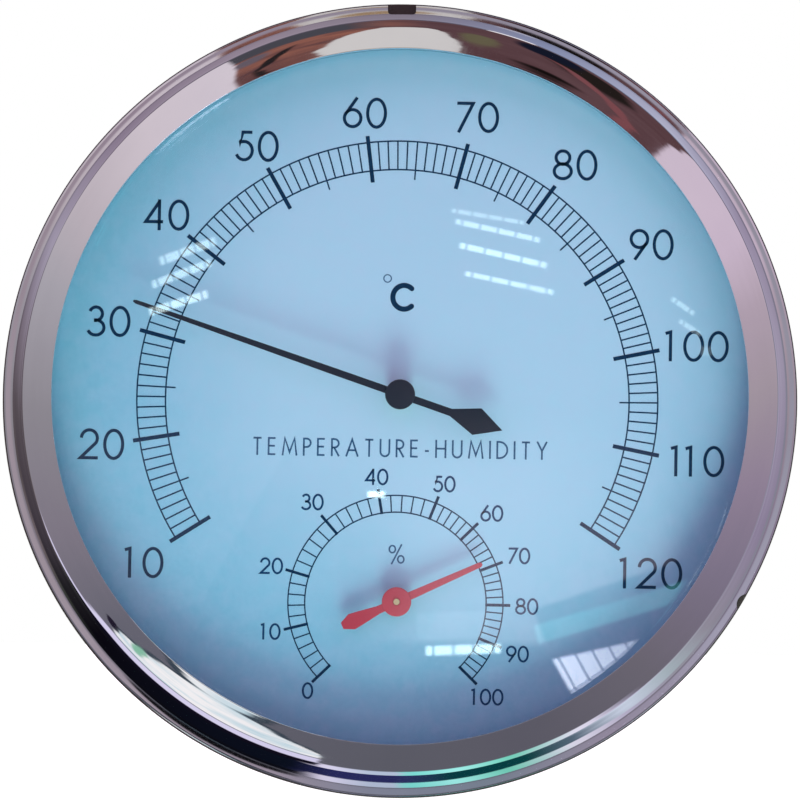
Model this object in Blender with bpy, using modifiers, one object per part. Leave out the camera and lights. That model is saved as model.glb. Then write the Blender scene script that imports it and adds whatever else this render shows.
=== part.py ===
"""Round wall thermo-hygrometer: steel case, domed crystal, printed dial and two pointer movements.

Lengths are in millimetres and become metres when a mesh is made. The dial faces -Y, +Z is up and
the wall is the plane y = 0. A depth is a distance in front of the wall, so a larger depth is nearer
the reader. Bearings run clockwise from twelve o'clock, seen from the front.
"""

import math

import bmesh
import bpy
from mathutils import Matrix

MM = 0.001
GAP = 0.3
RUNNING = 0.05

# Segments round a turn, by the size of the piece.
RING_STEPS = 60
SMALL_STEPS = 20
SCREW_STEPS = 14
SHARP_ANGLE = math.radians(32)
CORNER_TURN = 1.7

# Back cover: a flat disc against the wall, a keyhole to hang it by, vents and three screws.
COVER_RADIUS = 66.0
COVER_THICK = 1.2
KEYHOLE_CENTRE_Z = 44.0
KEYHOLE_HEAD_RADIUS = 4.6
KEYHOLE_SLOT_WIDTH = 4.6
KEYHOLE_SLOT_TOP = 52.0
VENT_COUNT = 10
VENT_WIDTH = 1.8
VENT_LENGTH = 6.0
VENT_RADIUS = 10.0
SCREW_CIRCLE_RADIUS = 54.0
SCREW_BEARINGS = (60.0, 180.0, 300.0)
COVER_SCREW_RADIUS = 1.1
COVER_SCREW_HEAD_RADIUS = 2.6
COVER_SCREW_HEAD_DEPTH = 1.0
COVER_SCREW_TIP = 7.0

# Case band: a flange over the cover, then a wall that draws in towards the bezel.
FLANGE_RADIUS = 65.7
FLANGE_BACK = COVER_THICK + GAP
BAND_THICK = 0.7
BAND_FRONT = 14.2
BAND_FRONT_RADIUS = 60.9
NOTCH_BEARING = -0.7
NOTCH_WIDTH = 4.7
NOTCH_FLOOR_RADIUS = 64.05
NOTCH_CORNER = 0.6
SCALLOP_BEARING = 119.6
SCALLOP_RADIUS = 1.75
SCALLOP_CENTRE_RADIUS = 66.75

# Bezel: a rolled ring whose edge laps the front of the band.
BEZEL_RADIUS = 61.95
BEZEL_BACK = 11.95
BEZEL_CREST = 17.7
OPENING_RADIUS = 56.65
OPENING_DEPTH = 16.45

# Crystal: a spherical cap with a flat rim, behind a soft seal.
CRYSTAL_RADIUS = 59.8
CRYSTAL_RIM_RADIUS = 57.0
CRYSTAL_RIM_BACK = 13.7
CRYSTAL_THICK = 1.6
CRYSTAL_RISE = 4.4
CRYSTAL_RINGS = 5
SEAL_INNER = 57.3
SEAL_OUTER = 58.8
SEAL_THICK = 0.4

# Dial, the ring that spaces it from the crystal, and the plate that carries it.
DIAL_RADIUS = 59.8
DIAL_BACK = 10.3
DIAL_FRONT = 10.9
SPACER_INNER = 57.1
PLATE_RADIUS = 59.6
PLATE_BACK = 8.6
PLATE_FRONT = 10.0
BOSS_RADIUS = 3.2
BOSS_BACK = COVER_THICK + GAP
BOSS_HOLE_TOP = 7.6

# What both movements share.
BRIDGE_BACK = 3.1
BRIDGE_THICK = 0.8
BRIDGE_FOOT_FRONT = PLATE_BACK - GAP
BRIDGE_FOOT_LENGTH = 5.4
BRIDGE_HALF_WIDTH = 3.5
COLLAR_RADIUS = 1.8
COLLAR_FRONT = 4.75
REGULATOR_BACK = 4.2
REGULATOR_FRONT = 4.7
REGULATOR_ARM_HALF = 1.1
POST_RADIUS = 0.6
COIL_BACK = 5.1
COIL_FRONT = 7.5
POST_FRONT = 7.6
BUSH_FLANGE_THICK = 0.4
BRIDGE_SCREW_RADIUS = 1.0
BRIDGE_SCREW_HEAD = 1.9
BRIDGE_SCREW_HEAD_THICK = 1.0
BRIDGE_SCREW_TIP = 9.7
SLOT_WIDTH = 0.5
SLOT_DEPTH = 0.4

# Temperature movement.
TEMP_PIVOT = (0.0, 0.25)
TEMP_BEARING = -71.6
TEMP_BLADE_LENGTH = 46.2
TEMP_BLADE_HALF = 0.6
TEMP_TIP_HALF = 0.32
TEMP_TAIL_NECK = 8.8
TEMP_TAIL_WIDEST = 13.3
TEMP_TAIL_HALF = 2.3
TEMP_TAIL_LENGTH = 17.7
TEMP_BLADE_BACK = 14.3
TEMP_BLADE_FRONT = 14.7
TEMP_HUB_RADIUS = 2.2
TEMP_HUB_BACK = 13.7
TEMP_HUB_FRONT = 14.95
TEMP_CAP_RADIUS = 2.45
TEMP_ARBOR_RADIUS = 0.8
TEMP_ARBOR_TIP_RADIUS = 0.6
TEMP_PIVOT_RADIUS = 0.5
TEMP_ARBOR_TIP = 15.0
TEMP_BUSH_RADIUS = 2.0
TEMP_BUSH_FRONT = 12.6
TEMP_COIL_OUTER = 11.0
TEMP_COIL_INNER = 1.4
TEMP_COIL_TURNS = 5
TEMP_COIL_THICK = 0.35
TEMP_LEG = 13.6
TEMP_ARM_BEARING = 0.0
TEMP_POST_AT = 12.0

# Humidity movement.
HUMIDITY_PIVOT = (0.0, -33.55)
HUMIDITY_BEARING = 65.1
HUMIDITY_BLADE_LENGTH = 15.3
HUMIDITY_BLADE_HALF = 0.66
HUMIDITY_TIP_HALF = 0.42
HUMIDITY_TAIL_WIDEST = 8.0
HUMIDITY_TAIL_HALF = 1.35
HUMIDITY_TAIL_LENGTH = 9.7
HUMIDITY_BLADE_BACK = 12.8
HUMIDITY_BLADE_FRONT = 13.2
HUMIDITY_HUB_RADIUS = 2.4
HUMIDITY_HUB_BACK = 12.3
HUMIDITY_HUB_FRONT = 13.5
HUMIDITY_ARBOR_RADIUS = 0.7
HUMIDITY_ARBOR_TIP_RADIUS = 0.5
HUMIDITY_PIVOT_RADIUS = 0.4
HUMIDITY_ARBOR_TIP = 13.75
HUMIDITY_BUSH_RADIUS = 1.7
HUMIDITY_BUSH_FRONT = 11.6
HUMIDITY_COIL_OUTER = 8.2
HUMIDITY_COIL_INNER = 1.3
HUMIDITY_COIL_TURNS = 5
HUMIDITY_COIL_THICK = 0.25
HUMIDITY_LEG = 10.8
HUMIDITY_ARM_BEARING = 180.0
HUMIDITY_POST_AT = 9.2

ROUND_OUTLINE_STEPS = 20
COIL_STEPS_PER_TURN = 20

PARTS = "dial_hygrometer"
CUTTERS = "dial_hygrometer_cutters"

# Base colour, roughness and metallic of each finish.
FINISHES = {
    "polished_steel": ((0.62, 0.58, 0.60), 0.08, 1.0),
    "bright_steel": ((0.60, 0.58, 0.60), 0.12, 1.0),
    "clear_crystal": ((0.92, 0.96, 0.97), 0.03, 0.0),
    "black_rubber": ((0.03, 0.03, 0.03), 0.7, 0.0),
    "white_plastic": ((0.75, 0.77, 0.78), 0.45, 0.0),
    "dial_enamel": ((0.55, 0.74, 0.82), 0.5, 0.0),
    "black_plastic": ((0.035, 0.032, 0.035), 0.55, 0.0),
    "cover_plastic": ((0.04, 0.035, 0.03), 0.5, 0.0),
    "pointer_black": ((0.02, 0.018, 0.022), 0.45, 0.0),
    "cap_black": ((0.025, 0.02, 0.025), 0.35, 0.0),
    "pointer_red": ((0.60, 0.03, 0.06), 0.4, 0.0),
    "brass": ((0.72, 0.55, 0.28), 0.3, 1.0),
    "arbor_steel": ((0.55, 0.55, 0.56), 0.25, 1.0),
    "bimetal": ((0.60, 0.50, 0.38), 0.35, 1.0),
    "hygroscopic_foil": ((0.70, 0.62, 0.48), 0.6, 0.0),
    "bridge_steel": ((0.56, 0.57, 0.58), 0.35, 1.0),
    "regulator_brass": ((0.70, 0.54, 0.30), 0.35, 1.0),
    "screw_steel": ((0.50, 0.50, 0.51), 0.3, 1.0),
}


def clear_scene():
    for obj in list(bpy.data.objects):
        bpy.data.objects.remove(obj)


def make_collection(name):
    made = bpy.data.collections.new(name)
    bpy.context.scene.collection.children.link(made)
    return made


def make_material(name, finish):
    colour, roughness, metallic = FINISHES[finish]
    made = bpy.data.materials.new(name)
    made.use_nodes = True
    shader = made.node_tree.nodes["Principled BSDF"]
    shader.inputs["Base Color"].default_value = (*colour, 1.0)
    shader.inputs["Roughness"].default_value = roughness
    shader.inputs["Metallic"].default_value = metallic
    made.diffuse_color = (*colour, 1.0)
    return made


def polar(radius, bearing):
    """The x and z of a point at this radius and bearing."""
    angle = math.radians(bearing)
    return radius * math.sin(angle), radius * math.cos(angle)


def turned(points, bearing):
    """Points drawn for twelve o'clock, turned clockwise to a bearing."""
    s = math.sin(math.radians(bearing))
    c = math.cos(math.radians(bearing))
    return [(x * c + z * s, z * c - x * s) for x, z in points]


def arc(centre, radius, start, end, steps):
    """Points on an arc from one bearing to another."""
    swept = [start + (end - start) * i / steps for i in range(steps + 1)]
    return [(centre[0] + p[0], centre[1] + p[1]) for p in (polar(radius, b) for b in swept)]


def add_object(bm, name, at, finish):
    """Makes an object of a finished bmesh. With no finish it is a cutter or a shape to join."""
    bmesh.ops.recalc_face_normals(bm, faces=bm.faces)
    bmesh.ops.transform(bm, matrix=Matrix.Diagonal((MM, MM, MM, 1.0)), verts=bm.verts)
    mesh = bpy.data.meshes.new(name)
    bm.to_mesh(mesh)
    bm.free()
    mesh.shade_smooth()
    mesh.set_sharp_from_angle(angle=SHARP_ANGLE)
    obj = bpy.data.objects.new(name, mesh)
    obj.location = (at[0] * MM, 0.0, at[1] * MM)
    if finish:
        mesh.materials.append(make_material(name, finish))
        bpy.data.collections[PARTS].objects.link(obj)
    else:
        obj.hide_render = True
        obj.display_type = "WIRE"
        bpy.data.collections[CUTTERS].objects.link(obj)
    return obj


def revolve(name, profile, finish=None, steps=SMALL_STEPS, at=(0.0, 0.0)):
    """Turns a closed loop of (radius, depth) points about an axis along Y."""
    bm = bmesh.new()
    verts = [bm.verts.new((r, -depth, 0.0)) for r, depth in profile]
    pairs = zip(verts, verts[1:] + verts[:1])
    edges = [bm.edges.new(pair) for pair in pairs if pair[0].co.x + pair[1].co.x > 0.0]
    bmesh.ops.spin(
        bm,
        geom=verts + edges,
        cent=(0.0, 0.0, 0.0),
        axis=(0.0, 1.0, 0.0),
        dvec=(0.0, 0.0, 0.0),
        angle=math.tau,
        steps=steps,
        use_merge=True,
    )
    bmesh.ops.remove_doubles(bm, verts=bm.verts, dist=1e-5)
    return add_object(bm, name, at, finish)


def tube(name, inner, outer, back, front, finish=None, steps=SMALL_STEPS, at=(0.0, 0.0)):
    profile = [(inner, back), (outer, back), (outer, front), (inner, front)]
    return revolve(name, profile, finish, steps, at)


def extrude_outline(bm, outline, back, front):
    """Fills an outline of (x, z) points and gives it depth."""
    face = bm.faces.new([bm.verts.new((x, -back, z)) for x, z in outline])
    lifted = bmesh.ops.extrude_face_region(bm, geom=[face])
    verts = [g for g in lifted["geom"] if isinstance(g, bmesh.types.BMVert)]
    bmesh.ops.translate(bm, verts=verts, vec=(0.0, back - front, 0.0))


def plate(name, outline, back, front, finish=None, at=(0.0, 0.0)):
    bm = bmesh.new()
    extrude_outline(bm, outline, back, front)
    return add_object(bm, name, at, finish)


def cylinder(name, radius, back, front, finish=None, steps=SMALL_STEPS, at=(0.0, 0.0)):
    """A disc or pin. Its corners are turned off the axes, so that no cut meets one exactly."""
    outline = arc((0.0, 0.0), radius, CORNER_TURN, CORNER_TURN + 360.0, steps)[:-1]
    return plate(name, outline, back, front, finish, at)


def combine(obj, other, operation):
    step = obj.modifiers.new(f"{operation.lower()}_{other.name}", "BOOLEAN")
    step.operation = operation
    step.solver = "EXACT"
    step.object = other


def cut(obj, *cutters):
    for cutter in cutters:
        combine(obj, cutter, "DIFFERENCE")


def join(obj, *shapes):
    for shape in shapes:
        combine(obj, shape, "UNION")


def rectangle(half_width, low, high):
    return [(-half_width, low), (half_width, low), (half_width, high), (-half_width, high)]


# Case


def keyhole_outline():
    """A round hole for a screw head, with a narrow slot above it for the shank."""
    half = KEYHOLE_SLOT_WIDTH / 2
    meets = math.degrees(math.asin(half / KEYHOLE_HEAD_RADIUS))
    head = arc((0.0, KEYHOLE_CENTRE_Z), KEYHOLE_HEAD_RADIUS, meets, 360 - meets, ROUND_OUTLINE_STEPS)
    top = arc((0.0, KEYHOLE_SLOT_TOP - half), half, -90.0, 90.0, ROUND_OUTLINE_STEPS // 2)
    return head + top


def vent_ring(name, centre):
    """Radial slots round one movement, so that room air reaches its coil."""
    low = VENT_RADIUS - VENT_LENGTH / 2
    bm = bmesh.new()
    for i in range(VENT_COUNT):
        slot = rectangle(VENT_WIDTH / 2, low, low + VENT_LENGTH)
        extrude_outline(bm, turned(slot, 360.0 * (i + 0.5) / VENT_COUNT), -1.0, COVER_THICK + 1.0)
    return add_object(bm, name, centre, None)


def countersink(name, at):
    """The cover's hole for one screw, clear of the head and the shank."""
    profile = [
        (0.0, -1.0),
        (COVER_SCREW_HEAD_RADIUS + GAP, -1.0),
        (COVER_SCREW_HEAD_RADIUS + GAP, 0.15),
        (COVER_SCREW_RADIUS + GAP, COVER_SCREW_HEAD_DEPTH + 0.15),
        (COVER_SCREW_RADIUS + GAP, COVER_THICK + 1.0),
        (0.0, COVER_THICK + 1.0),
    ]
    return revolve(name, profile, at=at)


def add_back_cover():
    cover = cylinder("back_cover", COVER_RADIUS, 0.0, COVER_THICK, "cover_plastic", RING_STEPS)
    cut(cover, plate("cut_keyhole", keyhole_outline(), -1.0, COVER_THICK + 1.0))
    cut(cover, vent_ring("cut_temp_vents", TEMP_PIVOT), vent_ring("cut_humidity_vents", HUMIDITY_PIVOT))
    for i, bearing in enumerate(SCREW_BEARINGS, 1):
        at = polar(SCREW_CIRCLE_RADIUS, bearing)
        cut(cover, countersink(f"cut_countersink_{i}", at))
        add_cover_screw(i, at)


def add_cover_screw(number, at):
    profile = [
        (0.0, 0.05),
        (COVER_SCREW_HEAD_RADIUS, 0.05),
        (COVER_SCREW_RADIUS, COVER_SCREW_HEAD_DEPTH + 0.1),
        (COVER_SCREW_RADIUS, COVER_SCREW_TIP - 0.5),
        (COVER_SCREW_RADIUS / 2, COVER_SCREW_TIP),
        (0.0, COVER_SCREW_TIP),
    ]
    screw = revolve(f"cover_screw_{number}", profile, "screw_steel", SCREW_STEPS, at)
    slot = rectangle(SLOT_WIDTH / 2, -COVER_SCREW_HEAD_RADIUS - 1.0, COVER_SCREW_HEAD_RADIUS + 1.0)
    cut(screw, plate(f"cut_cover_slot_{number}", turned(slot, 35.0), -1.0, 0.05 + SLOT_DEPTH, at=at))


def add_case_band():
    """The flange and the drawn-in wall, one thickness of sheet throughout."""
    outer = [
        (FLANGE_RADIUS, FLANGE_BACK),
        (FLANGE_RADIUS, FLANGE_BACK + 0.5),
        (64.6, 2.3),
        (63.8, 2.8),
        (63.1, 4.2),
        (62.2, 7.8),
        (61.5, 11.3),
        (BAND_FRONT_RADIUS, 11.6),
        (BAND_FRONT_RADIUS, BAND_FRONT),
    ]
    inner = [
        (BAND_FRONT_RADIUS - BAND_THICK, BAND_FRONT),
        (BAND_FRONT_RADIUS - BAND_THICK, 11.2),
        (61.5, 7.6),
        (62.4, 3.9),
        (63.2, FLANGE_BACK),
    ]
    band = revolve("case_band", outer + inner, "bright_steel", RING_STEPS)
    half = NOTCH_WIDTH / 2
    floor = NOTCH_FLOOR_RADIUS
    low_corners = arc((-half + NOTCH_CORNER, floor + NOTCH_CORNER), NOTCH_CORNER, 270.0, 180.0, 4)
    low_corners += arc((half - NOTCH_CORNER, floor + NOTCH_CORNER), NOTCH_CORNER, 180.0, 90.0, 4)
    notch = low_corners + [(half, COVER_RADIUS + 1.0), (-half, COVER_RADIUS + 1.0)]
    deep = FLANGE_BACK + 1.6
    cut(band, plate("cut_notch", turned(notch, NOTCH_BEARING), FLANGE_BACK - 1.0, deep))
    at = polar(SCALLOP_CENTRE_RADIUS, SCALLOP_BEARING)
    cut(band, cylinder("cut_scallop", SCALLOP_RADIUS, FLANGE_BACK - 1.0, deep, at=at))


def add_bezel():
    outer = [
        (BEZEL_RADIUS, BEZEL_BACK),
        (BEZEL_RADIUS, 13.9),
        (61.7, 14.9),
        (61.0, 15.7),
        (60.0, 16.28),
        (58.6, 16.98),
        (57.3, BEZEL_CREST),
        (56.8, 17.6),
        (OPENING_RADIUS, OPENING_DEPTH),
    ]
    inner = [
        (57.3, OPENING_DEPTH),
        (57.6, 16.95),
        (58.6, 16.42),
        (60.0, 15.75),
        (61.0, 14.9),
        (61.25, 13.9),
        (61.25, BEZEL_BACK),
    ]
    revolve("bezel", outer + inner, "polished_steel", RING_STEPS)


def dome(radius, centre_depth, edge_radius, rings):
    """Points down a spherical cap from its centre to its edge, as (radius, depth)."""
    points = []
    for i in range(rings + 1):
        r = edge_radius * i / rings
        points.append((r, centre_depth - radius + math.sqrt(radius * radius - r * r)))
    return points


def add_crystal():
    radius = (CRYSTAL_RIM_RADIUS**2 + CRYSTAL_RISE**2) / (2 * CRYSTAL_RISE)
    rim_front = CRYSTAL_RIM_BACK + CRYSTAL_THICK
    front = dome(radius, rim_front + CRYSTAL_RISE, CRYSTAL_RIM_RADIUS, CRYSTAL_RINGS)
    back = dome(radius, CRYSTAL_RIM_BACK + CRYSTAL_RISE, CRYSTAL_RIM_RADIUS, CRYSTAL_RINGS)
    edge = [(CRYSTAL_RADIUS, rim_front), (CRYSTAL_RADIUS, CRYSTAL_RIM_BACK)]
    revolve("crystal", front + edge + back[::-1], "clear_crystal", RING_STEPS)
    seal_back = rim_front + GAP
    tube("crystal_seal", SEAL_INNER, SEAL_OUTER, seal_back, seal_back + SEAL_THICK, "black_rubber", RING_STEPS)


def add_dial_stack():
    dial = cylinder("dial_plate", DIAL_RADIUS, DIAL_BACK, DIAL_FRONT, "dial_enamel", RING_STEPS)
    back, front = DIAL_FRONT + GAP, CRYSTAL_RIM_BACK - GAP
    tube("dial_spacer", SPACER_INNER, CRYSTAL_RADIUS, back, front, "white_plastic", RING_STEPS)
    carrier = cylinder("mounting_plate", PLATE_RADIUS, PLATE_BACK, PLATE_FRONT, "black_plastic", RING_STEPS)
    for i, bearing in enumerate(SCREW_BEARINGS, 1):
        at = polar(SCREW_CIRCLE_RADIUS, bearing)
        join(carrier, cylinder(f"add_boss_{i}", BOSS_RADIUS, BOSS_BACK, PLATE_BACK + 0.5, at=at))
        cut(carrier, cylinder(f"cut_boss_{i}", COVER_SCREW_RADIUS + GAP, 0.0, BOSS_HOLE_TOP, at=at))
    for name, pivot, radius in (
        ("temp", TEMP_PIVOT, TEMP_BUSH_RADIUS),
        ("humidity", HUMIDITY_PIVOT, HUMIDITY_BUSH_RADIUS),
    ):
        hole = cylinder(f"cut_{name}_bush", radius + GAP, PLATE_BACK - 1.0, DIAL_FRONT + 1.0, at=pivot)
        cut(dial, hole)
        cut(carrier, hole)
    return carrier


# Movements


def add_arbor(name, pivot, pivot_radius, radius, tip_radius, shoulder, tip, finish):
    """A shaft that steps down at the back to run in the bridge and at the front to take the pointer."""
    profile = [
        (0.0, BRIDGE_BACK + 0.1),
        (pivot_radius, BRIDGE_BACK + 0.1),
        (pivot_radius, COLLAR_FRONT + 0.1),
        (radius, COLLAR_FRONT + 0.1),
        (radius, shoulder),
        (tip_radius, shoulder),
        (tip_radius, tip),
        (0.0, tip),
    ]
    revolve(name, profile, finish, at=pivot)


def add_bush(name, pivot, bore, radius, front):
    flange_front = PLATE_BACK - GAP
    profile = [
        (bore, flange_front - BUSH_FLANGE_THICK),
        (radius + 1.0, flange_front - BUSH_FLANGE_THICK),
        (radius + 1.0, flange_front),
        (radius, flange_front),
        (radius, front),
        (bore, front),
    ]
    revolve(name, profile, "brass", at=pivot)


def add_coil(name, pivot, inner, outer, turns, thickness, end_bearing, finish):
    """A flat spiral strip. It starts round the arbor and ends beside the regulator's post."""
    steps = turns * COIL_STEPS_PER_TURN
    bm = bmesh.new()
    verts = []
    for i in range(steps + 1):
        share = i / steps
        bearing = end_bearing - 360.0 * turns * (1.0 - share)
        x, z = polar(inner + (outer - inner) * share, bearing)
        verts.append(bm.verts.new((x, -COIL_BACK, z)))
    edges = [bm.edges.new(pair) for pair in zip(verts, verts[1:])]
    lifted = bmesh.ops.extrude_edge_only(bm, edges=edges)
    moved = [g for g in lifted["geom"] if isinstance(g, bmesh.types.BMVert)]
    bmesh.ops.translate(bm, verts=moved, vec=(0.0, COIL_BACK - COIL_FRONT, 0.0))
    coil = add_object(bm, name, pivot, finish)
    wall = coil.modifiers.new("thickness", "SOLIDIFY")
    wall.thickness = thickness * MM
    wall.offset = 0.0


def add_bridge(name, pivot, leg, pivot_radius):
    """A bent strap over the coil. Its collar is the rear bearing and its feet are screwed down."""
    deck_front = BRIDGE_BACK + BRIDGE_THICK
    foot_back = BRIDGE_FOOT_FRONT - BRIDGE_THICK
    foot_end = leg + BRIDGE_THICK + BRIDGE_FOOT_LENGTH
    right = [
        (leg + BRIDGE_THICK, BRIDGE_BACK),
        (leg + BRIDGE_THICK, foot_back),
        (foot_end, foot_back),
        (foot_end, BRIDGE_FOOT_FRONT),
        (leg, BRIDGE_FOOT_FRONT),
        (leg, deck_front),
    ]
    section = right + [(-x, depth) for x, depth in right[::-1]]
    bm = bmesh.new()
    face = bm.faces.new([bm.verts.new((x, -depth, -BRIDGE_HALF_WIDTH)) for x, depth in section])
    lifted = bmesh.ops.extrude_face_region(bm, geom=[face])
    verts = [g for g in lifted["geom"] if isinstance(g, bmesh.types.BMVert)]
    bmesh.ops.translate(bm, verts=verts, vec=(0.0, 0.0, 2 * BRIDGE_HALF_WIDTH))
    bridge = add_object(bm, name, pivot, "bridge_steel")
    join(bridge, cylinder(f"add_{name}_collar", COLLAR_RADIUS, BRIDGE_BACK + 0.2, COLLAR_FRONT, at=pivot))
    bore = pivot_radius + RUNNING
    cut(bridge, cylinder(f"cut_{name}_bore", bore, BRIDGE_BACK - 1.0, COLLAR_FRONT + 1.0, at=pivot))
    return bridge


def add_bridge_screws(name, bridge, carrier, pivot, leg):
    reach = leg + BRIDGE_THICK + BRIDGE_FOOT_LENGTH / 2
    under_head = BRIDGE_FOOT_FRONT - BRIDGE_THICK - GAP
    head_back = under_head - BRIDGE_SCREW_HEAD_THICK
    for number, side in enumerate((-1.0, 1.0), 1):
        at = (pivot[0] + side * reach, pivot[1])
        hole = cylinder(f"cut_{name}_foot_{number}", BRIDGE_SCREW_RADIUS + GAP, 6.0, PLATE_FRONT + 1.0, at=at)
        cut(bridge, hole)
        cut(carrier, hole)
        profile = [
            (0.0, head_back),
            (BRIDGE_SCREW_HEAD - 0.4, head_back),
            (BRIDGE_SCREW_HEAD, head_back + 0.4),
            (BRIDGE_SCREW_HEAD, under_head),
            (BRIDGE_SCREW_RADIUS, under_head),
            (BRIDGE_SCREW_RADIUS, BRIDGE_SCREW_TIP),
            (0.0, BRIDGE_SCREW_TIP),
        ]
        screw = revolve(f"{name}_bridge_screw_{number}", profile, "screw_steel", SCREW_STEPS, at)
        slot = rectangle(SLOT_WIDTH / 2, -BRIDGE_SCREW_HEAD - 1.0, BRIDGE_SCREW_HEAD + 1.0)
        slot_front = head_back + SLOT_DEPTH
        slot_name = f"cut_{name}_screw_slot_{number}"
        cut(screw, plate(slot_name, turned(slot, 20.0 + 50.0 * number), head_back - 1.0, slot_front, at=at))


def add_regulator(name, pivot, arm_bearing, post_at):
    """A friction-held lever round the bridge's collar. Its post holds the outer end of the coil."""
    ring_outer = COLLAR_RADIUS + 1.6
    lever = cylinder(name, ring_outer, REGULATOR_BACK, REGULATOR_FRONT, "regulator_brass", at=pivot)
    arm = rectangle(REGULATOR_ARM_HALF, 0.0, post_at + POST_RADIUS + 0.3)
    tab = rectangle(REGULATOR_ARM_HALF, -ring_outer - 2.6, 0.0)
    arm_shape = turned(arm, arm_bearing)
    tab_shape = turned(tab, arm_bearing)
    join(lever, plate(f"add_{name}_arm", arm_shape, REGULATOR_BACK, REGULATOR_FRONT, at=pivot))
    join(lever, plate(f"add_{name}_tab", tab_shape, REGULATOR_BACK, REGULATOR_FRONT, at=pivot))
    offset = polar(post_at, arm_bearing)
    post = (pivot[0] + offset[0], pivot[1] + offset[1])
    join(lever, cylinder(f"add_{name}_post", POST_RADIUS, REGULATOR_BACK + 0.1, POST_FRONT, at=post))
    bore = COLLAR_RADIUS + RUNNING
    cut(lever, cylinder(f"cut_{name}_bore", bore, REGULATOR_BACK - 1.0, REGULATOR_FRONT + 1.0, at=pivot))


def add_pointer(name, pivot, outline, bearing, blade, hub_radius, hub, bore, finish):
    """A stamped hand on a round hub, turned to its reading."""
    hand = plate(name, turned(outline, bearing), blade[0], blade[1], finish, at=pivot)
    chamfer = 0.25
    profile = [
        (0.0, hub[0]),
        (hub_radius, hub[0]),
        (hub_radius, hub[1] - chamfer),
        (hub_radius - chamfer, hub[1]),
        (0.0, hub[1]),
    ]
    join(hand, revolve(f"add_{name}_hub", profile, at=pivot))
    cut(hand, cylinder(f"cut_{name}_bore", bore, hub[0] - 1.0, hub[1] + 1.0, at=pivot))


def mirrored(right):
    """A closed outline from the points of its right side, listed from the bottom to the top."""
    return right + [(-x, z) for x, z in right[::-1] if x > 0.0]


def temp_outline():
    return mirrored([
        (0.0, -TEMP_TAIL_LENGTH),
        (TEMP_TAIL_HALF, -TEMP_TAIL_WIDEST),
        (TEMP_BLADE_HALF, -TEMP_TAIL_NECK),
        (TEMP_BLADE_HALF, TEMP_HUB_RADIUS),
        (TEMP_TIP_HALF, TEMP_BLADE_LENGTH - 0.5),
        (TEMP_TIP_HALF / 2, TEMP_BLADE_LENGTH),
    ])


def humidity_outline():
    return mirrored([
        (0.0, -HUMIDITY_TAIL_LENGTH),
        (HUMIDITY_TAIL_HALF, -HUMIDITY_TAIL_WIDEST),
        (HUMIDITY_BLADE_HALF, -HUMIDITY_HUB_RADIUS),
        (HUMIDITY_BLADE_HALF, HUMIDITY_HUB_RADIUS),
        (HUMIDITY_TIP_HALF, HUMIDITY_BLADE_LENGTH - 0.35),
        (HUMIDITY_TIP_HALF / 2, HUMIDITY_BLADE_LENGTH),
    ])


def add_temp_movement(carrier):
    add_arbor(
        "temp_arbor", TEMP_PIVOT, TEMP_PIVOT_RADIUS, TEMP_ARBOR_RADIUS, TEMP_ARBOR_TIP_RADIUS,
        TEMP_HUB_BACK - GAP, TEMP_ARBOR_TIP, "arbor_steel",
    )
    add_bush("temp_bush", TEMP_PIVOT, TEMP_ARBOR_RADIUS + RUNNING, TEMP_BUSH_RADIUS, TEMP_BUSH_FRONT)
    add_coil(
        "temp_coil", TEMP_PIVOT, TEMP_COIL_INNER, TEMP_COIL_OUTER, TEMP_COIL_TURNS, TEMP_COIL_THICK,
        TEMP_ARM_BEARING, "bimetal",
    )
    bridge = add_bridge("temp_bridge", TEMP_PIVOT, TEMP_LEG, TEMP_PIVOT_RADIUS)
    add_bridge_screws("temp", bridge, carrier, TEMP_PIVOT, TEMP_LEG)
    add_regulator("temp_regulator", TEMP_PIVOT, TEMP_ARM_BEARING, TEMP_POST_AT)
    add_pointer(
        "temp_pointer", TEMP_PIVOT, temp_outline(), TEMP_BEARING, (TEMP_BLADE_BACK, TEMP_BLADE_FRONT),
        TEMP_HUB_RADIUS, (TEMP_HUB_BACK, TEMP_HUB_FRONT), TEMP_ARBOR_TIP_RADIUS + RUNNING, "pointer_black",
    )
    cap_back = TEMP_HUB_FRONT + GAP
    cap = [
        (0.0, cap_back),
        (TEMP_CAP_RADIUS, cap_back),
        (TEMP_CAP_RADIUS, cap_back + 0.25),
        (TEMP_CAP_RADIUS - 0.5, cap_back + 0.5),
        (TEMP_CAP_RADIUS - 1.2, cap_back + 0.62),
        (0.0, cap_back + 0.65),
    ]
    revolve("temp_hub_cap", cap, "cap_black", at=TEMP_PIVOT)


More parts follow.
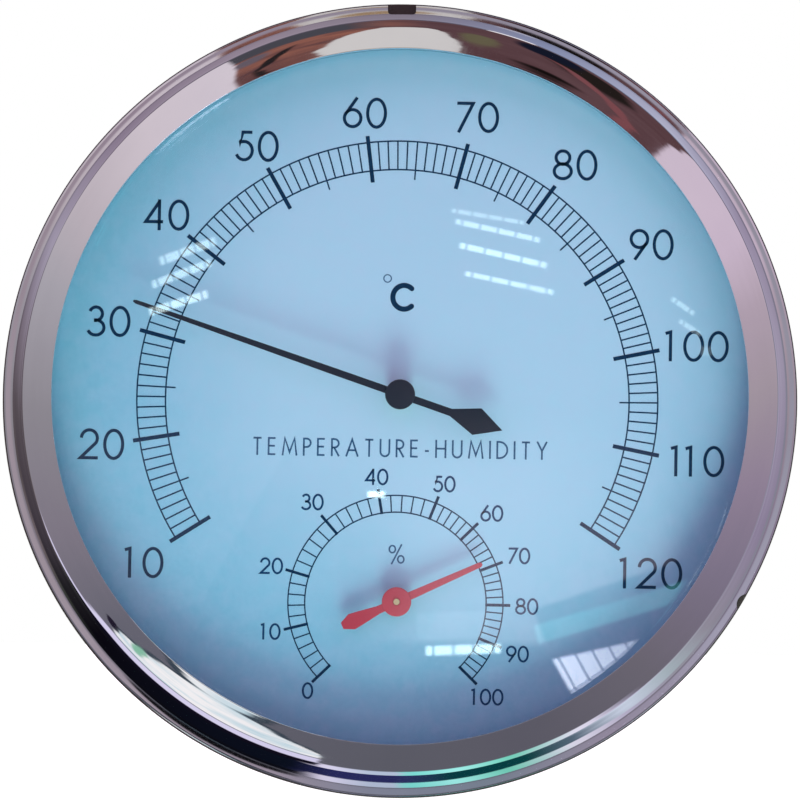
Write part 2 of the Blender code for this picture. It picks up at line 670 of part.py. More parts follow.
def add_humidity_movement(carrier):
    add_arbor(
        "humidity_arbor", HUMIDITY_PIVOT, HUMIDITY_PIVOT_RADIUS, HUMIDITY_ARBOR_RADIUS,
        HUMIDITY_ARBOR_TIP_RADIUS, HUMIDITY_HUB_BACK - GAP, HUMIDITY_ARBOR_TIP, "brass",
    )
    bore = HUMIDITY_ARBOR_RADIUS + RUNNING
    add_bush("humidity_bush", HUMIDITY_PIVOT, bore, HUMIDITY_BUSH_RADIUS, HUMIDITY_BUSH_FRONT)
    add_coil(
        "humidity_coil", HUMIDITY_PIVOT, HUMIDITY_COIL_INNER, HUMIDITY_COIL_OUTER, HUMIDITY_COIL_TURNS,
        HUMIDITY_COIL_THICK, HUMIDITY_ARM_BEARING, "hygroscopic_foil",
    )
    bridge = add_bridge("humidity_bridge", HUMIDITY_PIVOT, HUMIDITY_LEG, HUMIDITY_PIVOT_RADIUS)
    add_bridge_screws("humidity", bridge, carrier, HUMIDITY_PIVOT, HUMIDITY_LEG)
    add_regulator("humidity_regulator", HUMIDITY_PIVOT, HUMIDITY_ARM_BEARING, HUMIDITY_POST_AT)
    add_pointer(
        "humidity_pointer", HUMIDITY_PIVOT, humidity_outline(), HUMIDITY_BEARING,
        (HUMIDITY_BLADE_BACK, HUMIDITY_BLADE_FRONT), HUMIDITY_HUB_RADIUS,
        (HUMIDITY_HUB_BACK, HUMIDITY_HUB_FRONT), HUMIDITY_ARBOR_TIP_RADIUS + RUNNING, "pointer_red",
    )


clear_scene()
make_collection(PARTS)
make_collection(CUTTERS)
add_back_cover()
add_case_band()
add_bezel()
add_crystal()
plate_carrier = add_dial_stack()
add_temp_movement(plate_carrier)
add_humidity_movement(plate_carrier)
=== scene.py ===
"""Finished looks of a round wall thermo-hygrometer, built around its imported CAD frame.

Lengths are in millimetres until a mesh is made. The dial faces -Y and +Z is up. A depth is a
distance in front of the wall. Bearings run clockwise from twelve o'clock, seen from the front.
"""

import math

import bmesh
import bpy
from mathutils import Matrix, Vector


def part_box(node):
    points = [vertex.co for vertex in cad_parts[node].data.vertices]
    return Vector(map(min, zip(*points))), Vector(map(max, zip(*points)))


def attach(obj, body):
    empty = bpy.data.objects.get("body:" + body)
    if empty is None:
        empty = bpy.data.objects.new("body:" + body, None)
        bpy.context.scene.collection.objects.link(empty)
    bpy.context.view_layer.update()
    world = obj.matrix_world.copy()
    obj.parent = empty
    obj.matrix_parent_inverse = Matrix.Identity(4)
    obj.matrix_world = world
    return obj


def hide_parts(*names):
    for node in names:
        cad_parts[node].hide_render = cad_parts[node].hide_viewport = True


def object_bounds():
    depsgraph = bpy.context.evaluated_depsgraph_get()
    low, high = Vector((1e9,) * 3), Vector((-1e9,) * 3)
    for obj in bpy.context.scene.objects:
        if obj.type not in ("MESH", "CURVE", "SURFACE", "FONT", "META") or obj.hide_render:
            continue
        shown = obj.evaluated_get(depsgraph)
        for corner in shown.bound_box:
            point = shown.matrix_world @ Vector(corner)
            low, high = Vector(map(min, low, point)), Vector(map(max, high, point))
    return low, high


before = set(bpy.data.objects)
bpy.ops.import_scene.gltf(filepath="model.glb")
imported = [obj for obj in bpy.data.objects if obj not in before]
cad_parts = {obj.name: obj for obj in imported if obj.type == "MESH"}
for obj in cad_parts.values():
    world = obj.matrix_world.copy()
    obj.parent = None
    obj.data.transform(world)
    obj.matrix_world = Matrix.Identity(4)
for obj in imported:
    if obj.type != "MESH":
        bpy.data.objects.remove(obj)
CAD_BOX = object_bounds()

MM = 0.001
FLOOR_GAP = 0.0002
RING_STEPS = 288
HUB_STEPS = 96
SHARP = math.radians(38)
TINY = 1e-6

DIAL_FRONT = -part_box("dial_plate")[0].y / MM
COVER_RADIUS = 65.96
FLANGE_BACK = 1.5
OPENING_RADIUS = 56.65
TEMP_PIVOT = (0.0, 0.25)
TEMP_BEARING = -71.6
HUMIDITY_PIVOT = (0.0, -33.55)
HUMIDITY_BEARING = 65.1

# The print sits a little off the pivots, as it does on the real dial.
MAIN_CENTRE = (-0.44, -0.6)
HUMIDITY_CENTRE = (-0.17, -33.72)
PRINT_SINK = 0.02


# Small geometry helpers


def spot(x, depth, z):
    return Vector((x * MM, -depth * MM, z * MM))


def polar(radius, bearing, centre=(0.0, 0.0)):
    angle = math.radians(bearing)
    return centre[0] + radius * math.sin(angle), centre[1] + radius * math.cos(angle)


def turned(points, bearing, centre=(0.0, 0.0)):
    """Points (across, along) with their along direction turned to a bearing."""
    angle = math.radians(bearing)
    c, s = math.cos(angle), math.sin(angle)
    return [(centre[0] + x * c + z * s, centre[1] - x * s + z * c) for x, z in points]


def smooth_curve(points, per=6):
    """A Catmull-Rom curve through a list of points."""

    def between(a, b, c, d, t):
        square = 2 * a - 5 * b + 4 * c - d
        cube = 3 * b - a - 3 * c + d
        return 0.5 * (2 * b + (c - a) * t + square * t * t + cube * t**3)

    padded = [points[0], *points, points[-1]]
    made = []
    for i in range(1, len(padded) - 2):
        for k in range(per):
            made.append(tuple(between(*four, k / per) for four in zip(*padded[i - 1 : i + 3])))
    made.append(points[-1])
    return made


def ellipse(cx, cy, rx, ry, start, end, count=14):
    """Points along an ellipse, in degrees anticlockwise from the right."""
    made = []
    for i in range(count + 1):
        angle = math.radians(start + (end - start) * i / count)
        made.append((cx + rx * math.cos(angle), cy + ry * math.sin(angle)))
    return made


def loop(cx, cy, rx, ry):
    """Points round a whole ellipse, for a closed line."""
    return ellipse(cx, cy, rx, ry, 0, 345, 23)


def add_object(name, data):
    made = bpy.data.objects.new(name, data)
    bpy.context.scene.collection.objects.link(made)
    return made


def mesh_object(bm, name):
    bmesh.ops.recalc_face_normals(bm, faces=bm.faces)
    mesh = bpy.data.meshes.new(name)
    bm.to_mesh(mesh)
    bm.free()
    mesh.shade_smooth()
    mesh.set_sharp_from_angle(angle=SHARP)
    return add_object(name, mesh)


def lathe_into(bm, profile, steps, at):
    """Turns a closed loop of (radius, depth) points about an axis along Y."""
    rings = []
    for radius, depth in profile:
        if radius < TINY:
            rings.append([bm.verts.new(spot(at[0], depth, at[1]))] * steps)
            continue
        ring = []
        for i in range(steps):
            x, z = polar(radius, 360 * i / steps, at)
            ring.append(bm.verts.new(spot(x, depth, z)))
        rings.append(ring)
    for a, b in zip(rings, rings[1:] + rings[:1]):
        for i in range(steps):
            k = (i + 1) % steps
            corners = []
            for vert in (a[i], a[k], b[k], b[i]):
                if vert not in corners:
                    corners.append(vert)
            if len(corners) > 2:
                bm.faces.new(corners)


def lathe(name, profile, steps=RING_STEPS, at=(0.0, 0.0)):
    bm = bmesh.new()
    lathe_into(bm, profile, steps, at)
    return mesh_object(bm, name)


def slab_into(bm, outline, back, front):
    """A flat plate with this outline of (x, z) points."""
    near = [bm.verts.new(spot(x, front, z)) for x, z in outline]
    far = [bm.verts.new(spot(x, back, z)) for x, z in outline]
    bm.faces.new(near)
    bm.faces.new(far[::-1])
    for i in range(len(outline)):
        k = (i + 1) % len(outline)
        bm.faces.new((near[i], far[i], far[k], near[k]))


def slab(name, outline, back, front):
    bm = bmesh.new()
    slab_into(bm, outline, back, front)
    return mesh_object(bm, name)


def disc(name, radius, back, front, at):
    # The odd start keeps its corners off the corners of what it cuts.
    outline = [polar(radius, 360 * (i + 0.37) / HUB_STEPS, at) for i in range(HUB_STEPS)]
    return slab(name, outline, back, front)


def cut(piece, *cutters):
    """Cuts the pieces out of the first, and removes them."""
    for cutter in cutters:
        modifier = piece.modifiers.new("cut", "BOOLEAN")
        modifier.object = cutter
        modifier.solver = "EXACT"
    bake_modifiers(piece)
    for cutter in cutters:
        bpy.data.objects.remove(cutter)
    piece.data.set_sharp_from_angle(angle=SHARP)


def bake_modifiers(piece):
    graph = bpy.context.evaluated_depsgraph_get()
    mesh = bpy.data.meshes.new_from_object(piece.evaluated_get(graph))
    piece.modifiers.clear()
    piece.data = mesh


def soften(piece, width, segments, angle):
    """Rounds the edges that are sharper than the angle."""
    modifier = piece.modifiers.new("edges", "BEVEL")
    modifier.width = width * MM
    modifier.segments = segments
    modifier.limit_method = "ANGLE"
    modifier.angle_limit = math.radians(angle)
    modifier.harden_normals = False


def place(piece, body, slot, material, *nodes):
    """Puts a finished piece on its body, with its finish and the CAD nodes that it stands for."""
    piece.data.materials.clear()
    piece.data.materials.append(material)
    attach(piece, body)
    if nodes:
        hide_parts(*nodes)
    return piece


# Materials: every one is made of nodes, with its detail in object space.


class Graph:
    """Short ways to add nodes to a tree."""

    def __init__(self, tree):
        self.tree = tree
        tree.nodes.clear()

    def node(self, kind, inputs=None, **settings):
        made = self.tree.nodes.new(kind)
        for key, value in settings.items():
            setattr(made, key, value)
        for key, value in (inputs or {}).items():
            self.feed(made.inputs[key], value)
        return made

    def feed(self, socket, value):
        if isinstance(value, bpy.types.NodeSocket):
            self.tree.links.new(value, socket)
        else:
            socket.default_value = value

    def math(self, operation, *values):
        made = self.node("ShaderNodeMath", operation=operation)
        for socket, value in zip(made.inputs, values):
            self.feed(socket, value)
        return made.outputs[0]

    def minus(self, first, second):
        return self.math("SUBTRACT", first, second)

    def times(self, first, *others):
        for value in others:
            first = self.math("MULTIPLY", first, value)
        return first

    def place(self):
        """Where a point is on its own object."""
        return self.node("ShaderNodeTexCoord").outputs["Object"]

    def noise(self, scale, detail=3.0, vector=None, roughness=0.55):
        made = self.node("ShaderNodeTexNoise", {"Scale": scale, "Detail": detail, "Roughness": roughness})
        self.feed(made.inputs["Vector"], vector or self.place())
        return made.outputs[0]

    def span(self, value, low, high, to_low=0.0, to_high=1.0, smooth=False):
        made = self.node("ShaderNodeMapRange", interpolation_type="SMOOTHSTEP" if smooth else "LINEAR")
        for socket, number in zip(made.inputs, (value, low, high, to_low, to_high)):
            self.feed(socket, number)
        return made.outputs[0]

    def ramp(self, value, stops):
        made = self.node("ShaderNodeValToRGB", {"Fac": value})
        elements = made.color_ramp.elements
        for i, (position, colour) in enumerate(stops):
            element = elements[i] if i < len(elements) else elements.new(position)
            element.position = position
            element.color = (*colour, 1.0)
        return made.outputs[0]

    def mix(self, factor, a, b):
        """A colour between a and b."""
        made = self.node("ShaderNodeMix", data_type="RGBA")
        for index, value in ((0, factor), (6, a), (7, b)):
            if isinstance(value, tuple):
                value = (*value, 1.0)
            self.feed(made.inputs[index], value)
        return made.outputs[2]

    def mix_value(self, share, first, second):
        """A number between first and second."""
        change = self.minus(second, first)
        return self.math("MULTIPLY_ADD", change, share, first)

    def bump(self, height, strength, distance):
        made = self.node("ShaderNodeBump", {"Strength": strength, "Distance": distance, "Height": height})
        return made.outputs["Normal"]


def new_material(name):
    material = bpy.data.materials.new(name)
    material.use_nodes = True
    return material, Graph(material.node_tree)


def principled(g, inputs):
    shader = g.node("ShaderNodeBsdfPrincipled", inputs)
    g.node("ShaderNodeOutputMaterial", {"Surface": shader.outputs[0]})


def linear(*rgb):
    """A colour given as 0 to 255 display values."""
    made = []
    for value in rgb:
        share = value / 255
        made.append(share / 12.92 if share <= 0.04045 else ((share + 0.055) / 1.055) ** 2.4)
    return tuple(made)


def metal(name, colour, tint, smooth, rough, grain, lift, metallic=1.0):
    """Bare or plated metal: a cloudy tone, uneven gloss and a fine grain."""
    material, g = new_material(name)
    cloud = g.noise(90.0, 4.0)
    fine = g.noise(grain, 5.0, roughness=0.7)
    worn = g.times(g.span(cloud, 0.35, 0.7), g.span(fine, 0.4, 0.75))
    principled(g, {
        "Base Color": g.mix(g.span(cloud, 0.3, 0.75), colour, tint),
        "Metallic": metallic,
        "Roughness": g.span(worn, 0.0, 1.0, smooth, rough),
        "Normal": g.bump(fine, lift, 0.00002),
    })
    return material


def plastic(name, colour, shade, smooth, rough, grain=1400.0, lift=0.25):
    """Moulded plastic or rubber with a fine spark-eroded grain."""
    material, g = new_material(name)
    cloud = g.noise(60.0, 3.0)
    cells = g.node("ShaderNodeTexVoronoi", {"Scale": grain, "Vector": g.place()}).outputs["Distance"]
    fine = g.math("ADD", cells, g.noise(grain * 0.6, 3.0))
    principled(g, {
        "Base Color": g.mix(g.span(cloud, 0.3, 0.75), colour, shade),
        "Roughness": g.span(g.noise(grain * 0.3, 3.0), 0.3, 0.7, smooth, rough),
        "Normal": g.bump(fine, lift, 0.00003),
    })
    return material


def ink(name, colour, faded):
    """Screen-printed ink: slightly uneven cover and a dull face."""
    material, g = new_material(name)
    cover = g.noise(2600.0, 4.0)
    principled(g, {
        "Base Color": g.mix(g.span(cover, 0.42, 0.8), colour, faded),
        "Roughness": g.span(cover, 0.3, 0.7, 0.5, 0.7),
        "Specular IOR Level": 0.12,
        "Normal": g.bump(cover, 0.15, 0.00001),
    })
    return material


# The enamel is palest about a point up and to the right of the centre, and deepens between two
# distances from it, in metres. The deepening is painted shade: the rim's shade on the dial.
UNSHADED_CENTRE = (0.008, 0.014)
RIM_SHADE_REACH = (0.024, 0.064)
DIAL_MIDDLE = (0.47, 0.71, 0.86)
DIAL_RIM_SHADE = (0.22, 0.54, 0.70)
DIAL_SPECK = (0.34, 0.74, 0.86)
DIAL_PATCH = (0.60, 0.66, 0.86)


def dial_enamel():
    """Pale blue enamel with painted shade that deepens it towards the rim, finely mottled."""
    material, g = new_material("dial_enamel")
    split = g.node("ShaderNodeSeparateXYZ", {"Vector": g.place()})
    across = g.minus(split.outputs["X"], UNSHADED_CENTRE[0])
    up = g.minus(split.outputs["Z"], UNSHADED_CENTRE[1])
    spread = g.node("ShaderNodeCombineXYZ", {"X": across, "Z": up})
    reach = g.node("ShaderNodeVectorMath", {0: spread.outputs[0]}, operation="LENGTH").outputs["Value"]
    # Painted shade: the colour deepens from the pale middle to the rim.
    body = g.mix(g.span(reach, *RIM_SHADE_REACH, smooth=True), DIAL_MIDDLE, DIAL_RIM_SHADE)
    speckle = g.noise(1500.0, 4.0, roughness=0.7)
    patches = g.noise(420.0, 3.0)
    body = g.mix(g.span(speckle, 0.35, 0.7, 0.0, 0.20), body, DIAL_SPECK)
    body = g.mix(g.span(patches, 0.35, 0.7, 0.0, 0.14), body, DIAL_PATCH)
    principled(g, {
        "Base Color": body,
        "Roughness": g.span(speckle, 0.3, 0.7, 0.42, 0.58),
        "Normal": g.bump(speckle, 0.12, 0.00002),
    })
    return material


def clear_crystal():
    """Clear glass: what is behind shows through, and the gloss grows towards a glancing view."""
    straight, glancing = 0.045, 0.93
    material, g = new_material("crystal_glass")
    facing = g.node("ShaderNodeLayerWeight", {"Blend": 0.5}).outputs["Facing"]
    share = g.math("MULTIPLY_ADD", g.math("POWER", facing, 5.0), glancing, straight)
    smudge = g.span(g.noise(70.0, 4.0), 0.4, 0.75, 0.0, 0.035)
    clear = g.node("ShaderNodeBsdfTransparent", {"Color": (0.985, 0.995, 0.995, 1.0)})
    gloss = g.node("ShaderNodeBsdfGlossy", {"Color": (1.0, 1.0, 1.0, 1.0), "Roughness": smudge})
    mixed = g.node("ShaderNodeMixShader", {0: share, 1: clear.outputs[0], 2: gloss.outputs[0]})
    g.node("ShaderNodeOutputMaterial", {"Surface": mixed.outputs[0]})
    return material


CHROME = metal("chrome_polished", (0.88, 0.86, 0.88), (0.84, 0.82, 0.85), 0.035, 0.085, 1200.0, 0.01)
BRIGHT = metal("steel_bright", (0.80, 0.78, 0.80), (0.74, 0.71, 0.74), 0.06, 0.13, 1500.0, 0.02)
ZINC = metal("zinc_plate", (0.60, 0.61, 0.62), (0.50, 0.51, 0.53), 0.24, 0.42, 1500.0, 0.08)
BRASS = metal("brass_turned", (0.88, 0.66, 0.38), (0.76, 0.55, 0.29), 0.40, 0.56, 1300.0, 0.06, 0.45)
BIMETAL = metal("bimetal_strip", (0.62, 0.52, 0.40), (0.50, 0.44, 0.38), 0.25, 0.40, 1600.0, 0.06)
COVER = plastic("cover_black", (0.036, 0.025, 0.019), (0.048, 0.035, 0.028), 0.42, 0.62)
CARRIER = plastic("carrier_black", (0.025, 0.024, 0.026), (0.035, 0.034, 0.036), 0.45, 0.65)
RUBBER = plastic("seal_rubber", (0.012, 0.012, 0.013), (0.020, 0.020, 0.021), 0.6, 0.8)
# The spacer ring's dark blue is painted shade: it takes the colour of the dial's shaded rim.
SPACER_SHADE = plastic("spacer_shade_blue", (0.15, 0.30, 0.42), (0.12, 0.26, 0.38), 0.5, 0.65, 900.0, 0.08)
FOIL = plastic("foil_fibre", (0.60, 0.50, 0.36), (0.48, 0.40, 0.30), 0.5, 0.7, 1800.0, 0.2)
BLACK = plastic("pointer_black", (0.014, 0.015, 0.024), (0.024, 0.018, 0.028), 0.34, 0.48, 2200.0, 0.08)
RED = plastic("pointer_red", (0.56, 0.050, 0.070), (0.50, 0.036, 0.060), 0.30, 0.42, 2200.0, 0.06)
INK_NAVY = ink("ink_navy", (0.002, 0.022, 0.060), (0.006, 0.042, 0.098))
INK_FINE = ink("ink_fine", (0.005, 0.030, 0.072), (0.015, 0.066, 0.130))
INK_SMALL = ink("ink_small", (0.005, 0.042, 0.115), (0.018, 0.080, 0.180))
INK_GREY = ink("ink_grey", (0.032, 0.100, 0.200), (0.064, 0.155, 0.280))
ENAMEL = dial_enamel()
GLASS = clear_crystal()


# Case


def make_bezel():
    outer = smooth_curve([
        (61.95, 11.95), (61.95, 13.1), (61.92, 13.9), (61.78, 14.55), (61.42, 15.16),
        (60.95, 15.68), (60.2, 16.36), (59.2, 16.95), (58.2, 17.37), (57.5, 17.605),
        (57.0, 17.773), (56.72, 17.867), (OPENING_RADIUS, 17.84),
        (OPENING_RADIUS, 17.3), (OPENING_RADIUS, 16.45),
    ])
    inner = smooth_curve([
        (57.3, 16.45), (57.6, 16.95), (58.6, 16.42), (60.0, 15.75), (61.0, 14.9),
        (61.25, 13.9), (61.25, 11.95),
    ], 4)
    return lathe("bezel_ring", outer + inner)


def rounded_notch(bearing, width, floor, corner):
    """The outline of a notch from past the rim in to a floor, with round inner corners."""
    half = width / 2
    low = ellipse(half - corner, floor + corner, corner, corner, 0, -90, 6)
    low += ellipse(-half + corner, floor + corner, corner, corner, -90, -180, 6)
    return turned(low + [(-half, COVER_RADIUS + 1.0), (half, COVER_RADIUS + 1.0)], bearing)


def make_band():
    """The flange and the drawn-in wall, with the notch at twelve o'clock and the scallop at four."""
    outer = [(65.7, FLANGE_BACK), (65.7, 1.7), (65.63, 1.86)]
    outer += smooth_curve([(65.4, 1.94), (64.9, 2.05), (64.5, 2.152), (64.22, 2.232)], 4)
    outer += smooth_curve([
        (64.205, 2.262), (64.12, 2.43), (63.9, 2.87), (63.65, 3.41), (63.35, 4.16),
        (63.05, 5.06), (62.75, 6.16), (62.2, 8.0), (61.5, 11.2),
    ], 5)
    outer += [(60.9, 11.6), (60.9, 14.2)]
    inner = [(60.2, 14.2), (60.2, 11.2), (61.5, 7.6), (62.4, 3.9), (63.2, FLANGE_BACK)]
    band = lathe("case_shell", outer + inner)
    through = (0.5, 3.1)
    notch_outline = rounded_notch(bearing=-0.7, width=4.7, floor=64.05, corner=0.6)
    scallop_radius, scallop_centre = 1.75, polar(66.75, 119.6)
    notch = slab("cut_notch", notch_outline, *through)
    scallop = disc("cut_scallop", scallop_radius, *through, scallop_centre)
    cut(band, notch, scallop)
    return band


def capsule(half, low, high, count=8):
    """The outline of a slot with round ends, along z."""
    top = ellipse(0.0, high, half, half, 0, 180, count)
    return top + ellipse(0.0, low, half, half, 180, 360, count)


def vent_outlines(pivot):
    """A ring of slots round a pivot, each pointing at it."""
    count, radius, length, half, first = 10, 10.0, 6.0, 0.9, 18.0
    reach = length / 2 - half
    slot = capsule(half, radius - reach, radius + reach)
    return [turned(slot, first + 360.0 * i / count, pivot) for i in range(count)]


def keyhole_outline():
    """A round hole for the screw's head, and a slot above it for the shank."""
    head, half, centre, top = 4.6, 2.3, 44.0, 52.0
    meet = math.degrees(math.acos(half / head))
    hole = ellipse(0.0, centre, head, head, 180 - meet, 360 + meet, 40)
    return hole + ellipse(0.0, top - half, half, half, 0, 180, 16)


SCREW_CIRCLE = 54.0
SCREW_BEARINGS = (60.0, 180.0, 300.0)
SINK_STEPS = 61
THROUGH_COVER = (-1.0, 2.2)


def make_cover():
    edge = smooth_curve([(65.5, 0.0), (65.8, 0.08), (COVER_RADIUS, 0.35)], 4)
    edge += smooth_curve([(COVER_RADIUS, 0.9), (65.86, 1.12), (65.6, 1.2)], 4)
    cover = lathe("rear_cover", [(0.0, 0.0)] + edge + [(0.0, 1.2)])
    cutters = [slab("cut_keyhole", keyhole_outline(), *THROUGH_COVER)]
    for pivot in (TEMP_PIVOT, HUMIDITY_PIVOT):
        bm = bmesh.new()
        for outline in vent_outlines(pivot):
            slab_into(bm, outline, *THROUGH_COVER)
        cutters.append(mesh_object(bm, "cut_vents"))
    sink = [(0.0, -1.0), (2.9, -1.0), (2.9, 0.0), (1.55, 1.2), (1.55, 2.2), (0.0, 2.2)]
    for bearing in SCREW_BEARINGS:
        cutters.append(lathe("cut_sink", sink, SINK_STEPS, polar(SCREW_CIRCLE, bearing)))
    cut(cover, *cutters)
    soften(cover, width=0.12, segments=2, angle=50)
    return cover


def make_cover_screw(number, at):
    """A countersunk self-tapping screw with a driver slot and a turned thread."""
    turns, first, pitch, core, crest = 7, 1.6, 0.7, 0.86, 1.1
    profile = [(0.0, 0.05), (2.5, 0.05), (2.6, 0.12), (2.52, 0.24), (1.2, 1.15)]
    for i in range(turns):
        depth = first + pitch * i
        profile += [(core, depth - 0.25), (crest, depth), (core, depth + 0.25)]
    profile += [(0.55, 6.7), (0.2, 7.0), (0.0, 7.0)]
    screw = lathe(f"rear_screw_{number}", profile, HUB_STEPS, at)
    half, reach, sunk, askew = 0.3, 3.6, 0.5, 35.0
    slot = [(-half, -reach), (half, -reach), (half, reach), (-half, reach)]
    cut(screw, slab("cut_slot", turned(slot, askew, at), -1.0, sunk))
    return screw


def make_crystal():
    """A spherical cap of even thickness with a flat rim."""
    rim, rise, thick, back = 57.0, 4.4, 1.6, 13.7
    radius = (rim**2 + rise**2) / (2 * rise)
    rings = 40
    reaches = [rim * i / rings for i in range(rings + 1)]

    def cap(rim_depth):
        base = rim_depth + rise - radius
        return [(reach, base + math.sqrt(radius**2 - reach**2)) for reach in reaches]

    front = cap(back + thick)
    rear = cap(back)
    edge = [(59.5, back + thick), (59.8, back + thick - 0.3), (59.8, back + 0.3), (59.5, back)]
    return lathe("crystal_dome", front + edge + rear[::-1])


def make_ring(name, inner, outer, back, front, chamfer):
    """A flat ring with its four edges broken."""
    return lathe(name, [
        (inner + chamfer, back), (outer - chamfer, back),
        (outer, back + chamfer), (outer, front - chamfer),
        (outer - chamfer, front), (inner + chamfer, front),
        (inner, front - chamfer), (inner, back + chamfer),
    ])


def build_case():
    place(make_bezel(), "case", "bezel", CHROME, "bezel")
    band = place(make_band(), "case", "case_band", BRIGHT, "case_band")
    cover = place(make_cover(), "case", "back_cover", COVER, "back_cover")
    # The rings mirror the room only, not the parts behind them.
    band.visible_glossy = False
    cover.visible_glossy = False
    for number, bearing in enumerate(SCREW_BEARINGS, 1):
        screw = make_cover_screw(number, polar(SCREW_CIRCLE, bearing))
        place(screw, "case", "screw_steel", ZINC, f"cover_screw_{number}")
    place(make_crystal(), "case", "crystal", GLASS, "crystal")
    seal = make_ring("seal_ring", inner=57.3, outer=58.8, back=15.6, front=16.0, chamfer=0.12)
    place(seal, "case", "crystal_seal", RUBBER, "crystal_seal")
    spacer = make_ring("spacer_ring", inner=57.1, outer=59.8, back=11.2, front=13.4, chamfer=0.15)
    place(spacer, "case", "dial_spacer", SPACER_SHADE, "dial_spacer")


# Pointers


def mirrored(half):
    """A whole outline from its right half."""
    return half + [(-x, z) for x, z in reversed(half) if x > TINY]


def make_pointer(name, pivot, outline, bearing, blade, hub):
    """A pressed blade with rolled-off edges on a turned hub with an open bore."""
    bm = bmesh.new()
    slab_into(bm, turned(outline, bearing, pivot), *blade)
    lathe_into(bm, hub, HUB_STEPS, pivot)
    pointer = mesh_object(bm, name)
    soften(pointer, width=0.09, segments=3, angle=30)
    return pointer


def build_pointers():
    outline = mirrored([
        (0.0, -17.7), (2.3, -13.3), (0.62, -8.8), (0.6, 0.0), (0.58, 12.0),
        (0.32, 45.7), (0.16, 46.2),
    ])
    blade = (14.3, 14.7)
    hub = [(0.65, 13.7), (2.2, 13.7), (2.2, 14.95), (0.65, 14.95)]
    pointer = make_pointer("pointer_temp", TEMP_PIVOT, outline, TEMP_BEARING, blade, hub)
    place(pointer, "temp_hand", "temp_pointer", BLACK, "temp_pointer")

    profile = [(0.0, 15.25), (2.35, 15.25), (2.45, 15.33)]
    profile += smooth_curve([(2.45, 15.5), (2.36, 15.66), (2.1, 15.76), (1.4, 15.84), (0.7, 15.88)], 5)
    cap = lathe("hub_cap_temp", profile + [(0.0, 15.9)], HUB_STEPS, TEMP_PIVOT)
    place(cap, "temp_hand", "temp_hub_cap", BLACK, "temp_hub_cap")

    outline = mirrored([
        (0.55, -9.7), (1.35, -8.0), (1.18, -6.6), (0.66, -3.2), (0.66, 2.4),
        (0.42, 14.95), (0.2, 15.3),
    ])
    blade = (12.8, 13.2)
    hub = [(0.55, 12.3), (2.35, 12.3), (2.4, 12.4), (2.4, 13.38)]
    hub += [(2.32, 13.47), (2.2, 13.5), (0.62, 13.5), (0.55, 13.42)]
    pointer = make_pointer("pointer_humidity", HUMIDITY_PIVOT, outline, HUMIDITY_BEARING, blade, hub)
    place(pointer, "humidity_hand", "humidity_pointer", RED, "humidity_pointer")


# Print: thin raised ink on the dial. A glyph is drawn on a height of 1 with one even line.


MITRE_LIMIT = 0.35


def ribbon_into(bm, points, half, front, closed=False, round_ends=False):
    """A flat line along the points, sunk a little into the dial."""
    points = [Vector(p) for p in points]
    halves = [half] * len(points)
    if round_ends:
        for _ in range(2):
            tangent = (points[-1] - points[-2]).normalized()
            tip = points[-1].copy()
            for step in (20, 40, 60, 75, 86):
                angle = math.radians(step)
                points.append(tip + tangent * half * math.sin(angle))
                halves.append(half * math.cos(angle))
            points.reverse()
            halves.reverse()
    count = len(points)
    rails = []
    for i, point in enumerate(points):
        before = points[i - 1] if i or closed else None
        after = points[(i + 1) % count] if i < count - 1 or closed else None
        ways = []
        if before is not None:
            ways.append((point - before).normalized())
        if after is not None:
            ways.append((after - point).normalized())
        along = sum(ways, Vector((0.0, 0.0)))
        along = along.normalized() if along.length > TINY else ways[0]
        normal = Vector((-along.y, along.x))
        flat = Vector((-ways[0].y, ways[0].x))
        reach = halves[i] / max(MITRE_LIMIT, normal.dot(flat))
        rails.append([
            bm.verts.new(spot(p.x, depth, p.y))
            for p in (point + normal * reach, point - normal * reach)
            for depth in (front, DIAL_FRONT - PRINT_SINK)
        ])
    spans = list(zip(rails, rails[1:]))
    if closed:
        spans.append((rails[-1], rails[0]))
    else:
        for end, flip in ((rails[0], False), (rails[-1], True)):
            face = (end[0], end[1], end[3], end[2])
            bm.faces.new(face[::-1] if flip else face)
    for a, b in spans:
        bm.faces.new((a[0], a[2], b[2], b[0]))
        bm.faces.new((a[1], b[1], b[3], a[3]))
        bm.faces.new((a[0], b[0], b[1], a[1]))
        bm.faces.new((a[2], a[3], b[3], b[2]))


# An upright stroke runs on by about half its line's width. P and R share a stem and bowl.
END = 0.06
BOWL = [(0.0, -END), (0.0, 1.0)] + ellipse(0.16, 0.74, 0.26, 0.26, 90, -90) + [(0.0, 0.48)]

